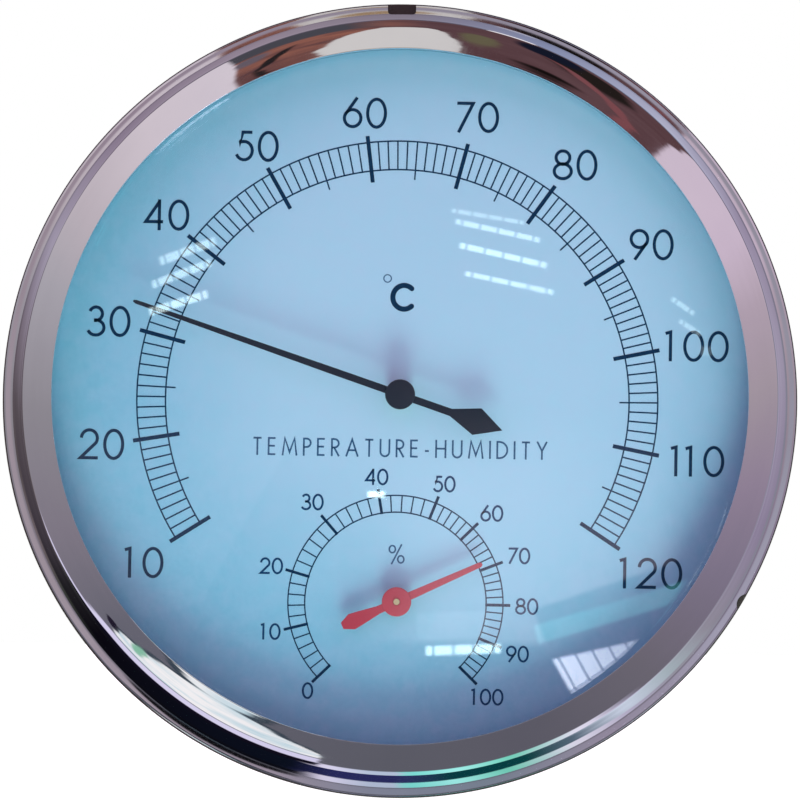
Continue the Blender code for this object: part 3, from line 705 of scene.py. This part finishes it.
# Each glyph: its width, its open strokes and its closed ones.
GLYPHS = {
    "0": (0.65, [], [loop(0.325, 0.5, 0.325, 0.51)]),
    "1": (0.29, [[(-0.17, 0.945), (0.015, 1.0), (0.015, -END)]], []),
    "2": (0.62, [ellipse(0.30, 0.71, 0.29, 0.30, 178, -32) + [(-0.01, 0.0), (0.62, 0.0)]], []),
    "3": (0.60, [
        ellipse(0.29, 0.765, 0.235, 0.245, 158, -85) + [(0.22, 0.52)],
        [(0.22, 0.535)] + ellipse(0.29, 0.265, 0.30, 0.275, 85, -158),
    ], []),
    "4": (0.63, [[(0.50, 1.0), (0.0, 0.25), (0.63, 0.25)], [(0.49, 1.0 + END), (0.49, -END)]], []),
    "5": (0.60, [
        [(0.58, 1.0), (0.235, 1.0), (0.15, 0.60)] + ellipse(0.29, 0.33, 0.30, 0.335, 118, -156),
    ], []),
    "6": (0.60, [[(0.46, 1.0 + END), (0.05, 0.46)]], [loop(0.30, 0.305, 0.30, 0.31)]),
    "7": (0.58, [[(0.0, 1.0), (0.58, 1.0), (0.06, -END)]], []),
    "8": (0.62, [], [loop(0.31, 0.76, 0.25, 0.245), loop(0.31, 0.265, 0.31, 0.27)]),
    "9": (0.60, [[(0.14, -END), (0.55, 0.54)]], [loop(0.30, 0.695, 0.30, 0.31)]),
    "A": (0.72, [[(0.0, -END), (0.36, 1.0), (0.72, -END)], [(0.13, 0.33), (0.59, 0.33)]], []),
    "D": (0.62, [], [[(0.0, 0.0)] + ellipse(0.14, 0.5, 0.48, 0.5, -90, 90) + [(0.0, 1.0)]]),
    "E": (0.42, [[(0.42, 1.0), (0.0, 1.0), (0.0, 0.0), (0.42, 0.0)], [(0.0, 0.52), (0.38, 0.52)]], []),
    "H": (0.58, [
        [(0.0, -END), (0.0, 1.0 + END)],
        [(0.58, -END), (0.58, 1.0 + END)],
        [(0.0, 0.52), (0.58, 0.52)],
    ], []),
    "I": (0.0, [[(0.0, -END), (0.0, 1.0 + END)]], []),
    "M": (0.86, [[(0.0, -END), (0.13, 1.0), (0.43, 0.14), (0.73, 1.0), (0.86, -END)]], []),
    "P": (0.42, [BOWL], []),
    "R": (0.44, [BOWL, [(0.14, 0.48), (0.44, -END)]], []),
    "T": (0.50, [[(0.0, 1.0), (0.50, 1.0)], [(0.25, 1.0), (0.25, -END)]], []),
    "U": (0.55, [
        [(0.0, 1.0 + END)] + ellipse(0.275, 0.28, 0.275, 0.29, 180, 360) + [(0.55, 1.0 + END)],
    ], []),
    "Y": (0.60, [[(0.0, 1.0 + END), (0.30, 0.48), (0.60, 1.0 + END)], [(0.30, 0.48), (0.30, -END)]], []),
    "-": (0.24, [[(0.0, 0.36), (0.24, 0.36)]], []),
    "%": (0.80, [[(0.12, -END), (0.68, 1.0 + END)]], [
        ellipse(0.16, 0.78, 0.17, 0.20, 0, 340, 17),
        ellipse(0.64, 0.22, 0.17, 0.20, 0, 340, 17),
    ]),
}


def lay_out(text, gap):
    """The strokes of a line of text, each with whether it is closed, and its left and right ends."""
    strokes, at = [], 0.0
    for letter in text:
        width, lines, loops = GLYPHS[letter]
        for line, closed in [(s, False) for s in lines] + [(s, True) for s in loops]:
            strokes.append(([(x + at, y) for x, y in line], closed))
        at += width + gap
    xs = [x for line, _ in strokes for x, _ in line]
    return strokes, min(xs), max(xs)


def text_into(bm, text, centre, height, line, front, gap=0.24):
    """Text with this overall height, centred on a point of the dial."""
    scale = height - line
    strokes, low, high = lay_out(text, gap)
    middle = (low + high) / 2
    for points, closed in strokes:
        placed = [(centre[0] + (x - middle) * scale, centre[1] + (y - 0.5) * scale) for x, y in points]
        ribbon_into(bm, placed, line / 2, front, closed)


def arc_line_into(bm, centre, radius, start, end, width, front):
    count = max(8, round(abs(end - start) * 1.2))
    points = [polar(radius, start + (end - start) * i / count, centre) for i in range(count + 1)]
    ribbon_into(bm, points, width / 2, front)


def tick_into(bm, centre, bearing, inner, outer, width, front):
    ribbon_into(bm, [polar(inner, bearing, centre), polar(outer, bearing, centre)], width / 2, front)


# Each print stands a little further out than the one that it crosses.
FRONT_FINE = DIAL_FRONT + 0.012
FRONT_ARC = DIAL_FRONT + 0.018
FRONT_BOLD = DIAL_FRONT + 0.026

# Degrees of bearing from one printed ten to the next. A bimetal scale isn't quite even.
MAIN_FIRST = -122.8
MAIN_STEPS = (23.2, 24.0, 22.9, 22.6, 22.7, 21.8, 20.9, 21.9, 20.9, 22.8, 21.9)
HUMIDITY_FIRST = -134.5
HUMIDITY_STEPS = (30.1, 30.3, 32.8, 31.6, 30.8, 24.0, 23.1, 22.1, 21.7, 22.0)


def marks(first, steps):
    """The bearings of the printed tens."""
    made = [first]
    for step in steps:
        made.append(made[-1] + step)
    return made


def print_piece(name, bm, material):
    place(mesh_object(bm, name), "case", "dial_plate", material)


def print_scale(name, centre, tens, divisions, inner, outer, bold, fine, half_tick):
    """Two arcs, a fine line for each division and a bold one (inner, outer, width) for each ten."""
    bm = bmesh.new()
    for radius in (inner, outer):
        arc_line_into(bm, centre, radius, tens[0], tens[-1], fine, FRONT_ARC)
    for low, high in zip(tens, tens[1:]):
        for i in range(1, divisions):
            bearing = low + (high - low) * i / divisions
            start = half_tick if half_tick and 2 * i == divisions else inner
            tick_into(bm, centre, bearing, start, outer, fine, FRONT_FINE)
    print_piece(f"print_{name}_scale", bm, INK_FINE)
    bm = bmesh.new()
    for bearing in tens:
        tick_into(bm, centre, bearing, *bold, FRONT_BOLD)
    print_piece(f"print_{name}_tens", bm, INK_NAVY)


def print_numbers(name, labels, centre, tens, shifts, reach, spreads, material, **style):
    """Numerals outside a scale, spread further out at the sides, where they lie lengthwise to it.

    They are laid one by one: each has a small shift, (along the scale, outwards).
    """
    bm = bmesh.new()
    for label, spread, bearing, (along, out) in zip(labels, spreads, tens, shifts):
        radius = reach + spread * abs(math.sin(math.radians(bearing))) + out
        at = polar(radius, bearing + math.degrees(along / radius), centre)
        text_into(bm, str(label), at, front=FRONT_BOLD, **style)
    print_piece(f"print_{name}_numbers", bm, material)


MAIN_SHIFTS = (
    (-0.6, 0.3), (0.2, -0.3), (0.0, -0.1), (0.5, -0.3), (0.2, -0.6), (0.0, -0.1),
    (0.3, 0.5), (0.6, 0.0), (0.2, 0.0), (0.5, 0.1), (-0.4, 0.3), (0.5, 0.7),
)
HUMIDITY_SHIFTS = (
    (-0.5, -1.05), (0.2, -0.55), (-0.1, -0.38), (0.3, 0.1), (0.1, 0.0), (0.1, 0.0),
    (0.4, 0.2), (0.0, 0.1), (0.1, -0.1), (-0.1, 0.1), (0.3, 0.1),
)


def print_legend():
    """One line of spaced capitals, stretched to its full length."""
    text = "TEMPERATURE-HUMIDITY"
    height, line, length = 2.95, 0.30, 48.4
    _, low, high = lay_out(text, 0.0)
    gap = ((length - line) / (height - line) - (high - low)) / (len(text) - 1)
    bm = bmesh.new()
    text_into(bm, text, (0.15, -8.4), height, line, FRONT_ARC, gap)
    print_piece("print_legend", bm, INK_GREY)


def print_units():
    """The C with its degree ring, and the percent sign."""
    bm = bmesh.new()
    letter_c = [(0.13 + x, 16.4 + z) for x, z in ellipse(0.25, 0.0, 1.85, 1.95, 48, 312, 30)]
    ribbon_into(bm, letter_c, 0.42, FRONT_BOLD, round_ends=True)
    print_piece("print_celsius", bm, INK_NAVY)

    bm = bmesh.new()
    ribbon_into(bm, loop(-2.38, 19.45, 0.62, 0.62), 0.09, FRONT_ARC, closed=True)
    text_into(bm, "%", (-0.12, -25.76), height=3.2, line=0.26, front=FRONT_ARC)
    print_piece("print_signs", bm, INK_GREY)


def build_print():
    tens = marks(MAIN_FIRST, MAIN_STEPS)
    print_scale(
        "temp", MAIN_CENTRE, tens, divisions=10, inner=38.0, outer=42.7,
        bold=(36.1, 43.8, 0.65), fine=0.25, half_tick=36.4,
    )
    labels = range(10, 130, 10)
    spreads = [0.47 * (4.9 if label >= 100 else 3.8) for label in labels]
    print_numbers(
        "temp", labels, MAIN_CENTRE, tens, MAIN_SHIFTS, 47.5, spreads, INK_NAVY,
        height=5.05, line=0.52,
    )
    tens = marks(HUMIDITY_FIRST, HUMIDITY_STEPS)
    print_scale(
        "humidity", HUMIDITY_CENTRE, tens, divisions=5, inner=14.85, outer=17.6,
        bold=(14.7, 18.8, 0.46), fine=0.22, half_tick=None,
    )
    print_numbers(
        "humidity", range(0, 110, 10), HUMIDITY_CENTRE, tens, HUMIDITY_SHIFTS, 20.7, [0.9] * 11,
        INK_SMALL, height=2.7, line=0.34, gap=0.2,
    )
    print_legend()
    print_units()


# CAD pieces that keep their own shape


def finish_cad_nodes():
    finishes = {
        "dial_plate": ENAMEL,
        "mounting_plate": CARRIER,
        "temp_arbor": ZINC,
        "temp_coil": BIMETAL,
        "humidity_arbor": BRASS,
        "humidity_coil": FOIL,
    }
    for hand in ("temp", "humidity"):
        for part in ("bush", "regulator"):
            finishes[f"{hand}_{part}"] = BRASS
        for part in ("bridge", "bridge_screw_1", "bridge_screw_2"):
            finishes[f"{hand}_{part}"] = ZINC
    for name, material in finishes.items():
        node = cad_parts[name]
        node.data.materials.clear()
        node.data.materials.append(material)


# Studio


def bearing_stops(stops):
    """Ramp stops from (bearing, display colour) pairs, closed at six o'clock."""
    placed = sorted((((bearing + 180.0) % 360.0) / 360.0, linear(*rgb)) for bearing, rgb in stops)
    return [(0.0, placed[0][1]), *placed, (1.0, placed[0][1])]


# What each part of the room shows to the polished rings, by bearing. A ring that leans outwards
# by an angle looks at the part of the room that lies twice as far from the viewer's direction.
BEZEL_ROOM = (
    (181, (97, 98, 108)), (232, (108, 108, 120)), (250, (134, 128, 140)), (270, (149, 146, 153)),
    (290, (176, 173, 181)), (302, (198, 189, 196)), (318, (217, 207, 215)), (334, (220, 211, 220)),
    (0, (220, 211, 220)), (62, (212, 194, 212)), (72, (186, 170, 184)), (85, (170, 158, 168)),
    (100, (152, 138, 158)), (115, (132, 123, 143)), (135, (112, 108, 119)), (155, (98, 97, 108)),
)
EDGE_ROOM = (
    (184, (190, 205, 228)), (191, (235, 230, 255)), (195, (12, 14, 24)), (234, (14, 14, 20)),
    (242, (67, 71, 66)), (250, (124, 113, 117)), (263, (92, 85, 86)), (282, (104, 94, 104)),
    (296, (142, 138, 150)), (312, (108, 96, 112)), (332, (94, 90, 103)), (352, (102, 94, 108)),
    (0, (78, 68, 78)), (10, (110, 110, 126)), (40, (116, 126, 147)), (58, (108, 104, 122)),
    (85, (139, 142, 157)), (115, (148, 146, 162)), (131, (160, 160, 172)), (140, (195, 191, 217)),
    (150, (240, 238, 255)), (156, (180, 225, 222)), (161, (120, 222, 196)), (170, (172, 255, 248)),
    (178, (126, 234, 222)),
)
WALL_ROOM = (
    (190, (44, 46, 98)), (197, (12, 18, 32)), (235, (12, 10, 18)), (244, (35, 34, 38)),
    (252, (66, 60, 68)), (272, (92, 84, 90)), (282, (128, 118, 130)), (298, (170, 162, 182)),
    (315, (150, 136, 156)), (342, (158, 145, 160)), (0, (142, 134, 148)), (20, (140, 150, 183)),
    (40, (186, 188, 212)), (58, (163, 152, 177)), (80, (168, 160, 182)), (105, (151, 140, 166)),
    (122, (153, 149, 163)), (131, (175, 190, 198)), (140, (215, 226, 244)), (149, (92, 112, 130)),
    (157, (10, 70, 72)), (170, (8, 64, 70)), (178, (50, 54, 104)),
)
FLANGE_ROOM = (
    (184, (140, 146, 165)), (200, (170, 160, 175)), (250, (176, 165, 174)), (285, (172, 160, 170)),
    (320, (162, 147, 162)), (0, (156, 150, 164)), (30, (168, 164, 180)), (50, (160, 156, 170)),
    (90, (165, 165, 180)), (120, (178, 176, 196)), (145, (162, 154, 174)), (165, (132, 145, 160)),
)
FRONT_ROOM = (46, 80, 104)

# Soft light on rough faces: from the upper left, from the lower right, and from behind the wall.
SOFT_HIGH = (0.84, 0.46, 0.76)
SOFT_LOW = (0.60, 0.57, 0.62)
SOFT_BACK = (0.62, 0.62, 0.64)


def window_light(g, across, up, centre, size, tilt, panes, strength, shear=0.0):
    """A soft-edged window of upright panes, in the plane that the crystal mirrors.

    With a shear, its panes lean and it fades towards its right end.
    """
    edge = 0.006
    half_u, half_v = size[0] / 2, size[1] / 2
    c, s = math.cos(math.radians(tilt)), math.sin(math.radians(tilt))
    dx = g.minus(across, centre[0])
    dz = g.minus(up, centre[1])
    u = g.math("ADD", g.times(dx, c), g.times(dz, s))
    v = g.minus(g.times(dz, c), g.times(dx, s))
    if shear:
        u = g.math("ADD", u, g.times(v, shear))
    fade = g.span(u, -half_u, half_u, 1.0, 0.45) if shear else 1.0
    blur = min(edge, size[1] * 0.45)
    inside_u = g.span(g.math("ABSOLUTE", u), half_u, half_u - edge, smooth=True)
    inside_v = g.span(g.math("ABSOLUTE", v), half_v + blur / 2, half_v - blur / 2, smooth=True)
    glow = g.times(inside_u, inside_v, fade)
    if panes > 1:
        phase = g.math("FRACT", g.math("MULTIPLY_ADD", u, panes / size[0], 0.5 if panes % 2 == 0 else 0.0))
        gap = g.math("ABSOLUTE", g.minus(phase, 0.5))
        glow = g.times(glow, g.span(gap, 0.47, 0.36, 0.35, 1.0, smooth=True))
    return g.times(glow, strength)


# Each window: its centre (across, up), size, tilt, panes and strength.
WINDOWS = (
    ((0.094, 0.246), (0.087, 0.005), -8.0, 5, 3.0),
    ((0.105, 0.230), (0.101, 0.006), -11.0, 5, 5.0),
    ((0.111, 0.202), (0.104, 0.0065), -11.5, 5, 6.0),
    ((0.118, 0.171), (0.105, 0.0055), -10.5, 5, 5.5),
    ((-0.241, 0.2045), (0.073, 0.010), 19.0, 4, 4.5),
    ((-0.247, 0.1785), (0.077, 0.009), 20.0, 4, 5.0),
    ((-0.249, 0.145), (0.075, 0.009), 16.5, 4, 6.5),
    ((0.318, 0.154), (0.037, 0.006), -31.0, 2, 3.0),
    ((0.326, 0.130), (0.034, 0.006), -29.0, 2, 3.0),
    ((0.346, 0.104), (0.020, 0.010), 0.0, 1, 1.2),
    ((0.075, -0.2345), (0.089, 0.0105), 2.5, 4, 9.0),
    ((0.062, -0.207), (0.085, 0.030), 3.0, 1, 0.5),
    ((-0.024, -0.0635), (0.0235, 0.0066), 0.0, 1, 13.0),
)
# Low on the right: a teal band, and a slatted opening below it, which has a shear as well.
TEAL_BAND = ((0.297, -0.1767), (0.300, 0.022), 16.0, 1, 1.3)
LOUVRE = ((0.2535, -0.2725), (0.118, 0.084), 12.0, 6, 8.5, 0.34)


class Room:
    """The room as the polished rings see it, in degrees round the dial and away from the viewer."""

    def __init__(self, g, turn, away):
        self.g = g
        self.turn = turn
        self.away = away

    def above(self, slope, start, level, soft=3.0):
        """One side of a slanted line: where away is more than level + slope * (turn - start)."""
        g = self.g
        line = g.math("MULTIPLY_ADD", g.minus(self.turn, start), slope, level)
        return g.span(g.minus(self.away, line), 0.0, soft)

    def beyond(self, level, soft=3.0):
        return self.above(0.0, 0.0, level, soft)

    def after(self, start, soft=0.8, slant=0.0):
        """What lies clockwise of a bearing, which may slant as away grows from 34."""
        g = self.g
        edge = g.math("MULTIPLY_ADD", g.minus(self.away, 34.0), slant, start)
        return g.span(g.minus(self.turn, edge), -soft / 2, soft / 2)

    def blob(self, turn, away, half_turn, half_away, soft=0.5, slope=0.0):
        """An oval, which may lean."""
        g = self.g
        a = g.minus(self.turn, turn)
        b = g.minus(self.away, away)
        if slope:
            b = g.minus(b, g.times(a, slope))
        a = g.math("DIVIDE", a, half_turn)
        b = g.math("DIVIDE", b, half_away)
        reach = g.math("ADD", g.times(a, a), g.times(b, b))
        return g.span(reach, 1.0, 1.0 - soft, smooth=True)

    def flip(self, mask):
        return self.g.minus(1.0, mask)


def paint_timber(g, room, streaks, colour):
    """The dark timber and the pale opening overhead."""
    left_end, right_end = -26.8, 42.4
    inside = g.times(room.after(left_end), room.flip(room.after(right_end, 0.9, 0.060)))
    timber = g.mix(room.after(-2.0, 10.0), linear(150, 98, 84), linear(98, 72, 76))
    timber = g.mix(g.span(streaks, 0.35, 0.7), timber, linear(88, 62, 66))
    # Each shade: where it lies, and its display colour.
    shades = (
        (room.blob(-20.3, 54.0, 4.6, 6.0, 0.7, 3.6), (38, 34, 36)),
        (g.times(room.beyond(84.0, 8.0), room.flip(room.after(-6.0, 6.0))), (74, 74, 82)),
        (room.blob(-24.5, 72.0, 4.5, 14.0, 0.8), (104, 94, 104)),
        (room.blob(22.0, 30.0, 9.5, 17.0, 0.5), (20, 16, 15)),
        (room.blob(29.0, 84.0, 9.0, 26.0, 0.6), (36, 30, 28)),
        (room.blob(22.0, 100.0, 6.0, 22.0, 0.6), (22, 26, 42)),
        (room.blob(31.5, 55.0, 12.0, 7.0, 0.8, -2.6), (128, 78, 82)),
        (room.blob(11.0, 68.0, 4.0, 22.0, 0.8), (104, 98, 76)),
    )
    for mask, rgb in shades:
        timber = g.mix(mask, timber, linear(*rgb))
    colour = g.mix(inside, colour, timber)
    opening = g.times(
        room.flip(room.above(3.8, -15.8, 34.0)),
        room.flip(room.above(-7.0, 10.0, 34.0)),
        room.flip(room.beyond(80.0)),
    )
    colour = g.mix(opening, colour, linear(214, 212, 210))
    return g.mix(room.blob(-3.0, 38.0, 9.0, 3.2, 0.6), colour, linear(166, 140, 108))


def paint_long_window(g, room, streaks, colour):
    """Low on the left: a bright lens with a dark outline and a green corner."""
    middle, reach, lowest, climb = -148.0, 20.0, 36.0, 26.0
    bend = g.times(g.math("ADD", room.turn, -middle), 1 / reach)
    level = g.math("MULTIPLY_ADD", g.times(bend, bend), climb, lowest)
    depth = g.minus(room.away, level)
    near = g.times(room.after(-168.0), room.flip(room.after(-128.5)))
    outline = g.times(near, g.span(depth, -5.0, -3.0), room.flip(room.beyond(82.0)))
    window = g.times(near, g.span(depth, -0.5, 1.5), room.flip(room.beyond(80.0)))
    colour = g.mix(outline, colour, linear(60, 72, 84))
    glow = g.mix(g.span(streaks, 0.45, 0.7), linear(255, 255, 255), linear(196, 226, 236))
    colour = g.mix(window, colour, glow)
    colour = g.mix(room.blob(-133.5, 57.0, 1.9, 12.0, 0.7), colour, linear(140, 200, 172))
    colour = g.mix(room.blob(-127.4, 62.0, 1.8, 7.0, 0.5), colour, linear(34, 28, 46))
    # A bright line below it and the dark floor under that rise towards nine o'clock.
    turn = g.math("MAXIMUM", g.math("ADD", room.turn, 128.0), 0.0)
    rise = Room(g, room.turn, g.math("MULTIPLY_ADD", turn, -1.5, room.away))
    near = g.times(room.after(-168.0), room.flip(room.after(-106.0, 8.0)))
    line = g.times(near, rise.beyond(83.0, 4.0))
    below = g.times(near, rise.beyond(94.0, 4.0))
    colour = g.mix(line, colour, linear(226, 222, 250))
    return g.mix(below, colour, linear(18, 15, 30))


def past_line(g, across, up, slope, level):
    """How far a direction lies above the line up = slope * across + level."""
    return g.minus(g.math("MULTIPLY_ADD", across, -slope, up), level)


def hill_veil(g, across, up):
    """A faint pale slope at the lower left, above two slanted lines."""
    floor = g.span(past_line(g, across, up, 0.308, -0.1244), 0.0, 0.005)
    bank = g.span(past_line(g, across, up, 1.8, 0.1996), 0.0, 0.008)
    return g.times(floor, bank, g.span(up, 0.035, -0.02, 0.0, 0.22, smooth=True))


def hall_veil(g, across, up):
    """A pale veil low on the right. Its lower edge is level, then climbs past a slanted corner."""
    level = g.span(up, -0.232, -0.222)
    climb = g.span(past_line(g, across, up, 0.33, -0.2411), 0.0, 0.006)
    beside = g.span(g.math("MULTIPLY_ADD", up, 0.395, across), 0.0743, 0.0803)
    left = g.span(across, -0.06, 0.08, smooth=True)
    right = g.span(across, 0.335, 0.28, smooth=True)
    return g.times(g.mix_value(beside, level, climb), left, right, g.span(up, 0.03, -0.18, 0.0, 1.2))


def crystal_room(g, x, y, z):
    """What the crystal mirrors: a dim room with its windows, veils, teal band and slatted opening."""
    facing = g.math("MAXIMUM", g.times(y, -1.0), 0.05)
    across = g.math("DIVIDE", x, facing)
    up = g.math("DIVIDE", z, facing)
    lights = 0.0
    for window in WINDOWS:
        lights = g.math("ADD", window_light(g, across, up, *window), lights)
    veils = g.math("ADD", hill_veil(g, across, up), hall_veil(g, across, up))
    tinted = (
        (lights, (225, 248, 250)),
        (veils, (255, 236, 246)),
        (window_light(g, across, up, *LOUVRE), (228, 236, 255)),
        (window_light(g, across, up, *TEAL_BAND), (136, 255, 255)),
    )
    lit = linear(*FRONT_ROOM)
    for amount, rgb in tinted:
        glow = g.node("ShaderNodeVectorMath", {0: linear(*rgb), "Scale": amount}, operation="SCALE")
        lit = g.node("ShaderNodeVectorMath", {0: lit, 1: glow.outputs[0]}, operation="ADD").outputs[0]
    return lit


# Degrees away from the viewer over which each part of the room gives way to the next.
TO_FLANGE = (22.6, 23.4)
TO_BEZEL = (33.0, 36.0)
TO_EDGE = (119.0, 122.0)
TO_WALL = (131.0, 134.0)


def polished_room(g, way, x, y, z):
    """The whole room that polished faces mirror, in rings away from the viewer."""
    degree = 180 / math.pi
    sway = g.noise(2.6, 3.0, way)
    streaks = g.noise(5.0, 4.0, way)
    turn = g.times(g.math("ARCTAN2", x, z), degree)
    turn = g.math("ADD", turn, g.span(sway, 0.3, 0.7, -0.9, 0.9))
    away = g.times(g.math("ARCCOSINE", g.times(y, -1.0)), degree)
    room = Room(g, turn, away)
    bearing = g.math("MULTIPLY_ADD", turn, 1 / 360, 0.5)
    flange, bezel, edge, wall = (
        g.ramp(bearing, bearing_stops(stops)) for stops in (FLANGE_ROOM, BEZEL_ROOM, EDGE_ROOM, WALL_ROOM)
    )

    # Round six o'clock the edge's colours show in the bezel too.
    low = g.math("MAXIMUM", room.after(142.0, 10.0), room.flip(room.after(-166.0)))
    bezel = g.mix(g.times(low, room.beyond(93.0, 5.0)), bezel, edge)
    bezel = paint_timber(g, room, streaks, bezel)
    bezel = paint_long_window(g, room, streaks, bezel)
    flange = g.mix(room.blob(-149.0, 33.0, 17.0, 6.0, 0.3), flange, linear(16, 16, 20))
    edge = g.mix(room.blob(15.5, 124.0, 4.0, 16.0, 0.4), edge, linear(255, 252, 255))

    seen = g.mix(g.span(away, *TO_FLANGE), crystal_room(g, x, y, z), flange)
    seen = g.mix(g.span(away, *TO_BEZEL), seen, bezel)
    seen = g.mix(g.span(away, *TO_EDGE), seen, edge)
    # Low down, the wall's part of the room starts later.
    steep = g.math("MULTIPLY_ADD", low, -9.0, away)
    return g.mix(g.span(steep, *TO_WALL), seen, wall)


def build_world():
    """White to the camera and soft light all round. Polished faces see a plain room instead."""
    world = bpy.data.worlds.new("studio")
    bpy.context.scene.world = world
    world.use_nodes = True
    world.cycles.sampling_method = "NONE"
    g = Graph(world.node_tree)
    way = g.node("ShaderNodeTexCoord").outputs["Generated"]
    split = g.node("ShaderNodeSeparateXYZ", {"Vector": way})
    x, y, z = (split.outputs[axis] for axis in "XYZ")
    seen = polished_room(g, way, x, y, z)
    lean = g.math("ADD", g.times(x, 0.5), g.times(z, -0.85))
    soft = g.mix(g.span(lean, -1.0, 1.0), SOFT_HIGH, SOFT_LOW)
    soft = g.mix(g.span(y, -0.15, 0.3), soft, SOFT_BACK)
    path = g.node("ShaderNodeLightPath")
    colour = g.mix(path.outputs["Is Glossy Ray"], soft, seen)
    colour = g.mix(path.outputs["Is Camera Ray"], colour, (1.0, 1.0, 1.0))
    background = g.node("ShaderNodeBackground", {"Color": colour, "Strength": 1.0})
    g.node("ShaderNodeOutputWorld", {"Surface": background.outputs[0]})


def area_light(name, direction, distance, size, power, colour):
    """A round soft lamp that looks at the dial from this direction."""
    data = bpy.data.lights.new(name, "AREA")
    data.shape = "DISK"
    data.size = size
    data.energy = power
    data.color = colour
    lamp = add_object(name, data)
    way = Vector(direction).normalized()
    lamp.location = way * distance
    lamp.rotation_euler = way.to_track_quat("Z", "Y").to_euler()
    lamp.visible_glossy = False
    lamp.visible_camera = False


def build_floor(height):
    """A plain pale floor under the dial's lowest point."""
    bm = bmesh.new()
    reach = 3.0
    corners = [(-reach, -reach), (reach, -reach), (reach, reach), (-reach, reach)]
    bm.faces.new([bm.verts.new((x, y, height)) for x, y in corners])
    floor = mesh_object(bm, "studio_floor")
    material, g = new_material("floor_paper")
    tone = g.mix(g.span(g.noise(3.0, 3.0), 0.3, 0.7), (0.90, 0.90, 0.91), (0.87, 0.87, 0.88))
    principled(g, {
        "Base Color": tone,
        "Roughness": 0.8,
        "Emission Color": (1.0, 1.0, 1.0, 1.0),
        "Emission Strength": 0.85,
    })
    floor.data.materials.append(material)
    floor.visible_shadow = False
    floor.visible_glossy = False
    floor.visible_diffuse = False


def build_camera():
    """A long lens a little below the dial's axis and turned a little, as in the photo."""
    distance, drop, roll = 0.8, math.radians(2.5), math.radians(1.0)
    data = bpy.data.cameras.new("view")
    data.sensor_width = 36.0
    data.lens = 216.6
    data.clip_start = 0.01
    data.clip_end = 50.0
    camera = add_object("view", data)
    way = Vector((0.0, -math.cos(drop), -math.sin(drop)))
    aim = way.to_track_quat("Z", "Y").to_matrix().to_4x4()
    camera.matrix_world = Matrix.Translation(way * distance) @ aim @ Matrix.Rotation(roll, 4, "Z")
    bpy.context.scene.camera = camera


build_case()
build_pointers()
build_print()
finish_cad_nodes()
build_world()
area_light("key_low", (0.1, -1.0, -1.85), distance=1.1, size=0.50, power=9.2, colour=(0.57, 1.0, 0.89))
area_light("fill_right", (1.05, -1.0, -1.6), distance=1.2, size=1.2, power=6.9, colour=(0.55, 1.0, 0.92))
build_floor(CAD_BOX[0][2] - FLOOR_GAP)
build_camera()
bpy.context.scene.view_settings.view_transform = "Standard"
